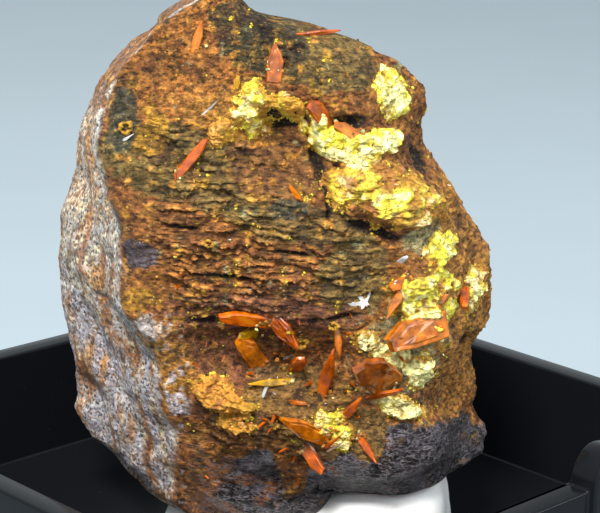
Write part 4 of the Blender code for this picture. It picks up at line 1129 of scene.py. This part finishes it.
def build_tray():
    """The tray: a merged copy of its solid with its edges rounded a little, so that they catch light."""
    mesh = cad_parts["display_box"].data.copy()
    body = bmesh.new()
    body.from_mesh(mesh)
    bmesh.ops.remove_doubles(body, verts=body.verts, dist=1e-7)
    bmesh.ops.dissolve_limit(body, angle_limit=math.radians(1), verts=body.verts, edges=body.edges)
    sharp = [edge for edge in body.edges if edge.calc_face_angle(0) > math.radians(30)]
    bmesh.ops.bevel(body, geom=sharp, offset=TRAY_EDGE * MM, segments=3, profile=0.5, affect="EDGES",
                    clamp_overlap=True)
    body.to_mesh(mesh)
    body.free()
    mesh.shade_smooth()
    mesh.set_sharp_from_angle(angle=math.radians(35))
    tray = bpy.data.objects.new("tray", mesh)
    bpy.context.scene.collection.objects.link(tray)
    return tray


def build_putty():
    """The putty: a full, squarish ball (its radius is set by a power of its three ways), swollen by
    two waves, raised on its right, dented by fingers and pressed flat on the tray."""
    lift = np.linspace(-0.5, 0.5, PUTTY_GRID[0] + 2)[1:-1, None] * np.pi
    turn = np.linspace(0, 2 * np.pi, PUTTY_GRID[1], endpoint=False)
    way = np.stack([np.cos(lift) * np.cos(turn), np.cos(lift) * np.sin(turn), np.sin(lift) + 0 * turn],
                   axis=-1)
    across, away, up = np.moveaxis(way, -1, 0)
    fullness = (np.abs(way) ** PUTTY_SQUARENESS).sum(axis=-1) ** (-1 / PUTTY_SQUARENESS)
    swell = 1 + 0.05 * np.sin(4 * across + 2 * away) + 0.04 * np.sin(5 * away - 3 * up + 1)
    points = np.array(PUTTY_MIDDLE) + np.array(PUTTY_HALF) * way * (fullness * swell)[..., None]
    points[..., 2] += np.clip(up, 0, 1) * np.clip(across, 0, 1) * PUTTY_RIGHT_RISE
    x, y, z = np.moveaxis(points, -1, 0)
    points = points + way * (0.1 * fractal(x, y, z, 1.8, 4, 95) - 0.02)[..., None]
    points[..., 2] = np.maximum(points[..., 2], PUTTY_FLOOR)
    return closed_skin("putty", to_world(points))


def putty_finish():
    """White putty: matt, faintly soiled, with a little light let through its surface."""
    finish = Finish("white_putty", Subsurface_Weight=0.15, Subsurface_Scale=0.001, Specular_IOR_Level=0.35)
    soil, fine = finish.grain(1.6, 5.0), finish.grain(0.15, 4.0)
    clean = (soil.rise(0.58, 0.75) * 0.4).between((0.97, 0.97, 0.965), (0.5, 0.42, 0.34))
    finish.set(Base_Color=clean, Roughness=0.5 + fine * 0.3)
    finish.bump(fine * 0.5 + soil, 0.4, 0.12)
    return finish.material


def way_from_view(azimuth, elevation):
    """Direction from the object, azimuth degrees to the right of the camera and elevation above."""
    a, e = SPECIMEN_TURN + math.radians(azimuth), math.radians(elevation)
    return Vector((math.sin(a) * math.cos(e), -math.cos(a) * math.cos(e), math.sin(e)))


def add_light(name, azimuth, elevation, distance, size, power, color):
    """A square soft light that looks at the specimen; sizes in millimetres."""
    lamp = bpy.data.lights.new(name, "AREA")
    lamp.shape, lamp.size, lamp.energy, lamp.color = "SQUARE", size * MM, power, color
    light = bpy.data.objects.new(name, lamp)
    way = way_from_view(azimuth, elevation)
    light.location = Vector(VIEW_TARGET) * MM + way * distance * MM
    light.rotation_euler = way.to_track_quat("Z", "Y").to_euler()
    bpy.context.scene.collection.objects.link(light)


def set_view():
    """The camera: it looks at its target from in front of the box's corner, rolled a little."""
    back = way_from_view(0, math.degrees(VIEW_ELEVATION))
    right = Vector((math.cos(SPECIMEN_TURN), math.sin(SPECIMEN_TURN), 0))
    up = back.cross(right)
    rolled = right * math.cos(VIEW_ROLL) + up * math.sin(VIEW_ROLL)
    above = up * math.cos(VIEW_ROLL) - right * math.sin(VIEW_ROLL)
    lens = bpy.data.cameras.new("view")
    lens.lens, lens.sensor_width, lens.sensor_fit = VIEW_LENS, VIEW_SENSOR, "HORIZONTAL"
    lens.clip_start, lens.clip_end = 0.002, 20.0
    camera = bpy.data.objects.new("view", lens)
    place = (Vector(VIEW_TARGET) + back * VIEW_DISTANCE) * MM
    camera.matrix_world = Matrix.Translation(place) @ Matrix((rolled, above, back)).transposed().to_4x4()
    bpy.context.scene.collection.objects.link(camera)
    bpy.context.scene.camera = camera


def set_stage():
    """A pale floor and soft studio light from above, left and right."""
    bpy.ops.mesh.primitive_circle_add(vertices=64, radius=3.0, fill_type="NGON", location=(0, 0, -0.00001))
    floor = bpy.context.object
    floor.name = "floor"
    floor.data.materials.append(floor_finish())
    world = bpy.context.scene.world or bpy.data.worlds.new("studio")
    bpy.context.scene.world = world
    world.use_nodes = True
    sky = world.node_tree.nodes["Background"]
    sky.inputs["Color"].default_value = (*SKY, 1)
    sky.inputs["Strength"].default_value = SKY_STRENGTH
    bpy.context.scene.view_settings.view_transform = "Standard"
    for name, measures in LIGHTS.items():
        add_light(name, *measures)


def build_small_things(points, parts):
    """Beads, crumbs and splinters on the display side, drawn by lot in this order."""
    rng = np.random.default_rng(7)
    normals = grid_normals(points)
    x, z, on_face = parts["x"], parts["z"], parts["on_face"] * (1 - parts["foot"])
    cover = yellow_cover(x, z)
    masks = {"yellow_beads": np.exp(-((cover / 0.1) ** 2)) * on_face,
             "rusty_crumbs": on_face * (cover < -0.1)}
    made = {"root_crumbs": build_root_crumbs(rng)}
    bead, splinter = bead_shape(), splinter_shape()
    for name, (count, (small, large), stretch) in BEADS.items():
        places = pick_places(rng, masks[name], count)
        sizes = rng.uniform(small, large, (count, 1)) * np.array(stretch) * rng.uniform(0.7, 1.3, (count, 3))
        spins = rng.uniform(0, 2 * np.pi, count)
        made[name] = scatter(name, points[places], normals[places], bead, sizes, spins)
        own = rng.uniform(0, 1, (count, 1))
        if name == "yellow_beads":
            color = between(linear("yellow"), linear("ochre_yellow"), own)
        else:
            color = parts["color"][places] * (0.7 + 0.9 * own)
        set_color(made[name], np.repeat(color, len(bead[0]), axis=0))
    splinter_zone = on_face * (sum(soft_spot(x, z, *spot) for spot in SPLINTER_SPOTS) + 0.12)
    for name, (count, long, tone) in SPLINTERS.items():
        places = pick_places(rng, splinter_zone, count)
        lean = unit(normals[places] + rng.normal(0, 0.8, (count, 3)))
        sizes = rng.uniform(*long, (count, 1)) * np.array([0.3, 0.12, 1.0])
        spins = rng.uniform(0, 2 * np.pi, count)
        made[name] = scatter(name, points[places], lean, splinter, sizes, spins)
        own = np.repeat(rng.uniform(0.7, 1.2, (count, 1)), len(splinter[0]), axis=0)
        set_color(made[name], np.array(CRYSTAL_TONES[tone]) * own)
    return made


def build_root_crumbs(rng):
    """Crumbs packed round the roots of the blades, where they grow out of the rock."""
    spots, sizes, colors = [], [], []
    for root, tip, width, *_ in BLADES.values():
        foot = face_point(*root)
        way = unit(np.array([tip[0] - root[0], 0, tip[1] - root[1]]))
        across = np.array([-way[2], 0, way[0]])
        for _ in range(ROOT_CRUMBS):
            spots.append(foot + across * rng.normal(0, 0.42 * width) - way * rng.uniform(-0.15, 0.35)
                         - np.array([0, rng.uniform(-0.02, 0.1), 0]))
            sizes.append(rng.uniform(0.05, 0.12) * rng.uniform(0.7, 1.3, 3))
            colors.append(linear(rng.choice(["ochre", "golden", "rust_light", "olive", "yellow_pale"]))
                          * rng.uniform(0.5, 1.1))
    count, bead = len(spots), bead_shape()
    outward, spins = np.broadcast_to([0.0, -1.0, 0.0], (count, 3)), rng.uniform(0, 2 * np.pi, count)
    crumbs = scatter("root_crumbs", np.array(spots), outward, bead, np.array(sizes), spins)
    set_color(crumbs, np.repeat(np.array(colors), len(bead[0]), axis=0))
    return crumbs


def build_curl(name, x, z, radius):
    """A small open curl of crystal: a thick ragged ring laid on the face, a torus with a bumpy tube."""
    centre = face_point(x, z)
    steps, ring_steps = CURL_STEPS
    turn = np.linspace(0, 2 * np.pi, steps, endpoint=False)
    ring = np.linspace(0, 2 * np.pi, ring_steps, endpoint=False)
    wobble = 1 + 0.12 * np.sin(2 * turn + x) + 0.1 * np.sin(5 * turn + z)
    tube = 0.4 * radius * (1 + 0.35 * np.sin(3 * turn + 2 * z) + 0.2 * np.sin(8 * turn + x))
    reach = radius * wobble[:, None] + tube[:, None] * np.cos(ring)
    points = np.stack([centre[0] + reach * np.cos(turn)[:, None],
                       centre[1] - 0.02 - tube[:, None] * np.sin(ring) * 1.3,
                       centre[2] + reach * np.sin(turn)[:, None] * 0.85], axis=-1)
    faces = ring_faces(steps + 1, ring_steps) % (steps * ring_steps)
    curl = mesh_piece(name, to_world(points.reshape(-1, 3)), [faces[:, ::-1]])
    set_color(curl, linear("ochre_yellow") * np.ones((len(curl.data.vertices), 3)))
    return curl


set_view()
set_stage()

rock_stone = rock_finish()
crust_sugar = crust_finish()
orange_crystal = wulfenite_finish()
rock, rock_points, rock_parts = build_rock()
dress(rock, rock_stone, "rock_matrix", slot="rusty_rock")

for name, (node, turns, heights, spots, thickness) in CRUSTS.items():
    crust = build_crust(name, turns, heights, spots, thickness)
    dress(crust, crust_sugar, node, slot="golden_crust" if name == "golden_chunk" else "yellow_crust")

for name, measures in BLADES.items():
    dress(build_blade(name, *measures), orange_crystal, name, slot="wulfenite")

for name, measures in SMALL_CRYSTALS.items():
    dress(build_blade(name, *measures), orange_crystal, slot="wulfenite")

for name, small in build_small_things(rock_points, rock_parts).items():
    finish = {"orange_splinters": orange_crystal, "rusty_crumbs": rock_stone}.get(name, crust_sugar)
    slot = {"orange_splinters": "wulfenite", "rusty_crumbs": "rusty_rock"}.get(name, "yellow_crust")
    dress(small, finish, slot=slot)

for name, measures in CURLS.items():
    dress(build_curl(name, *measures), crust_sugar, slot="yellow_crust")

dress(build_tray(), plastic_finish(), "display_box", slot="black_plastic")
dress(build_putty(), putty_finish(), "mounting_putty", slot="putty")
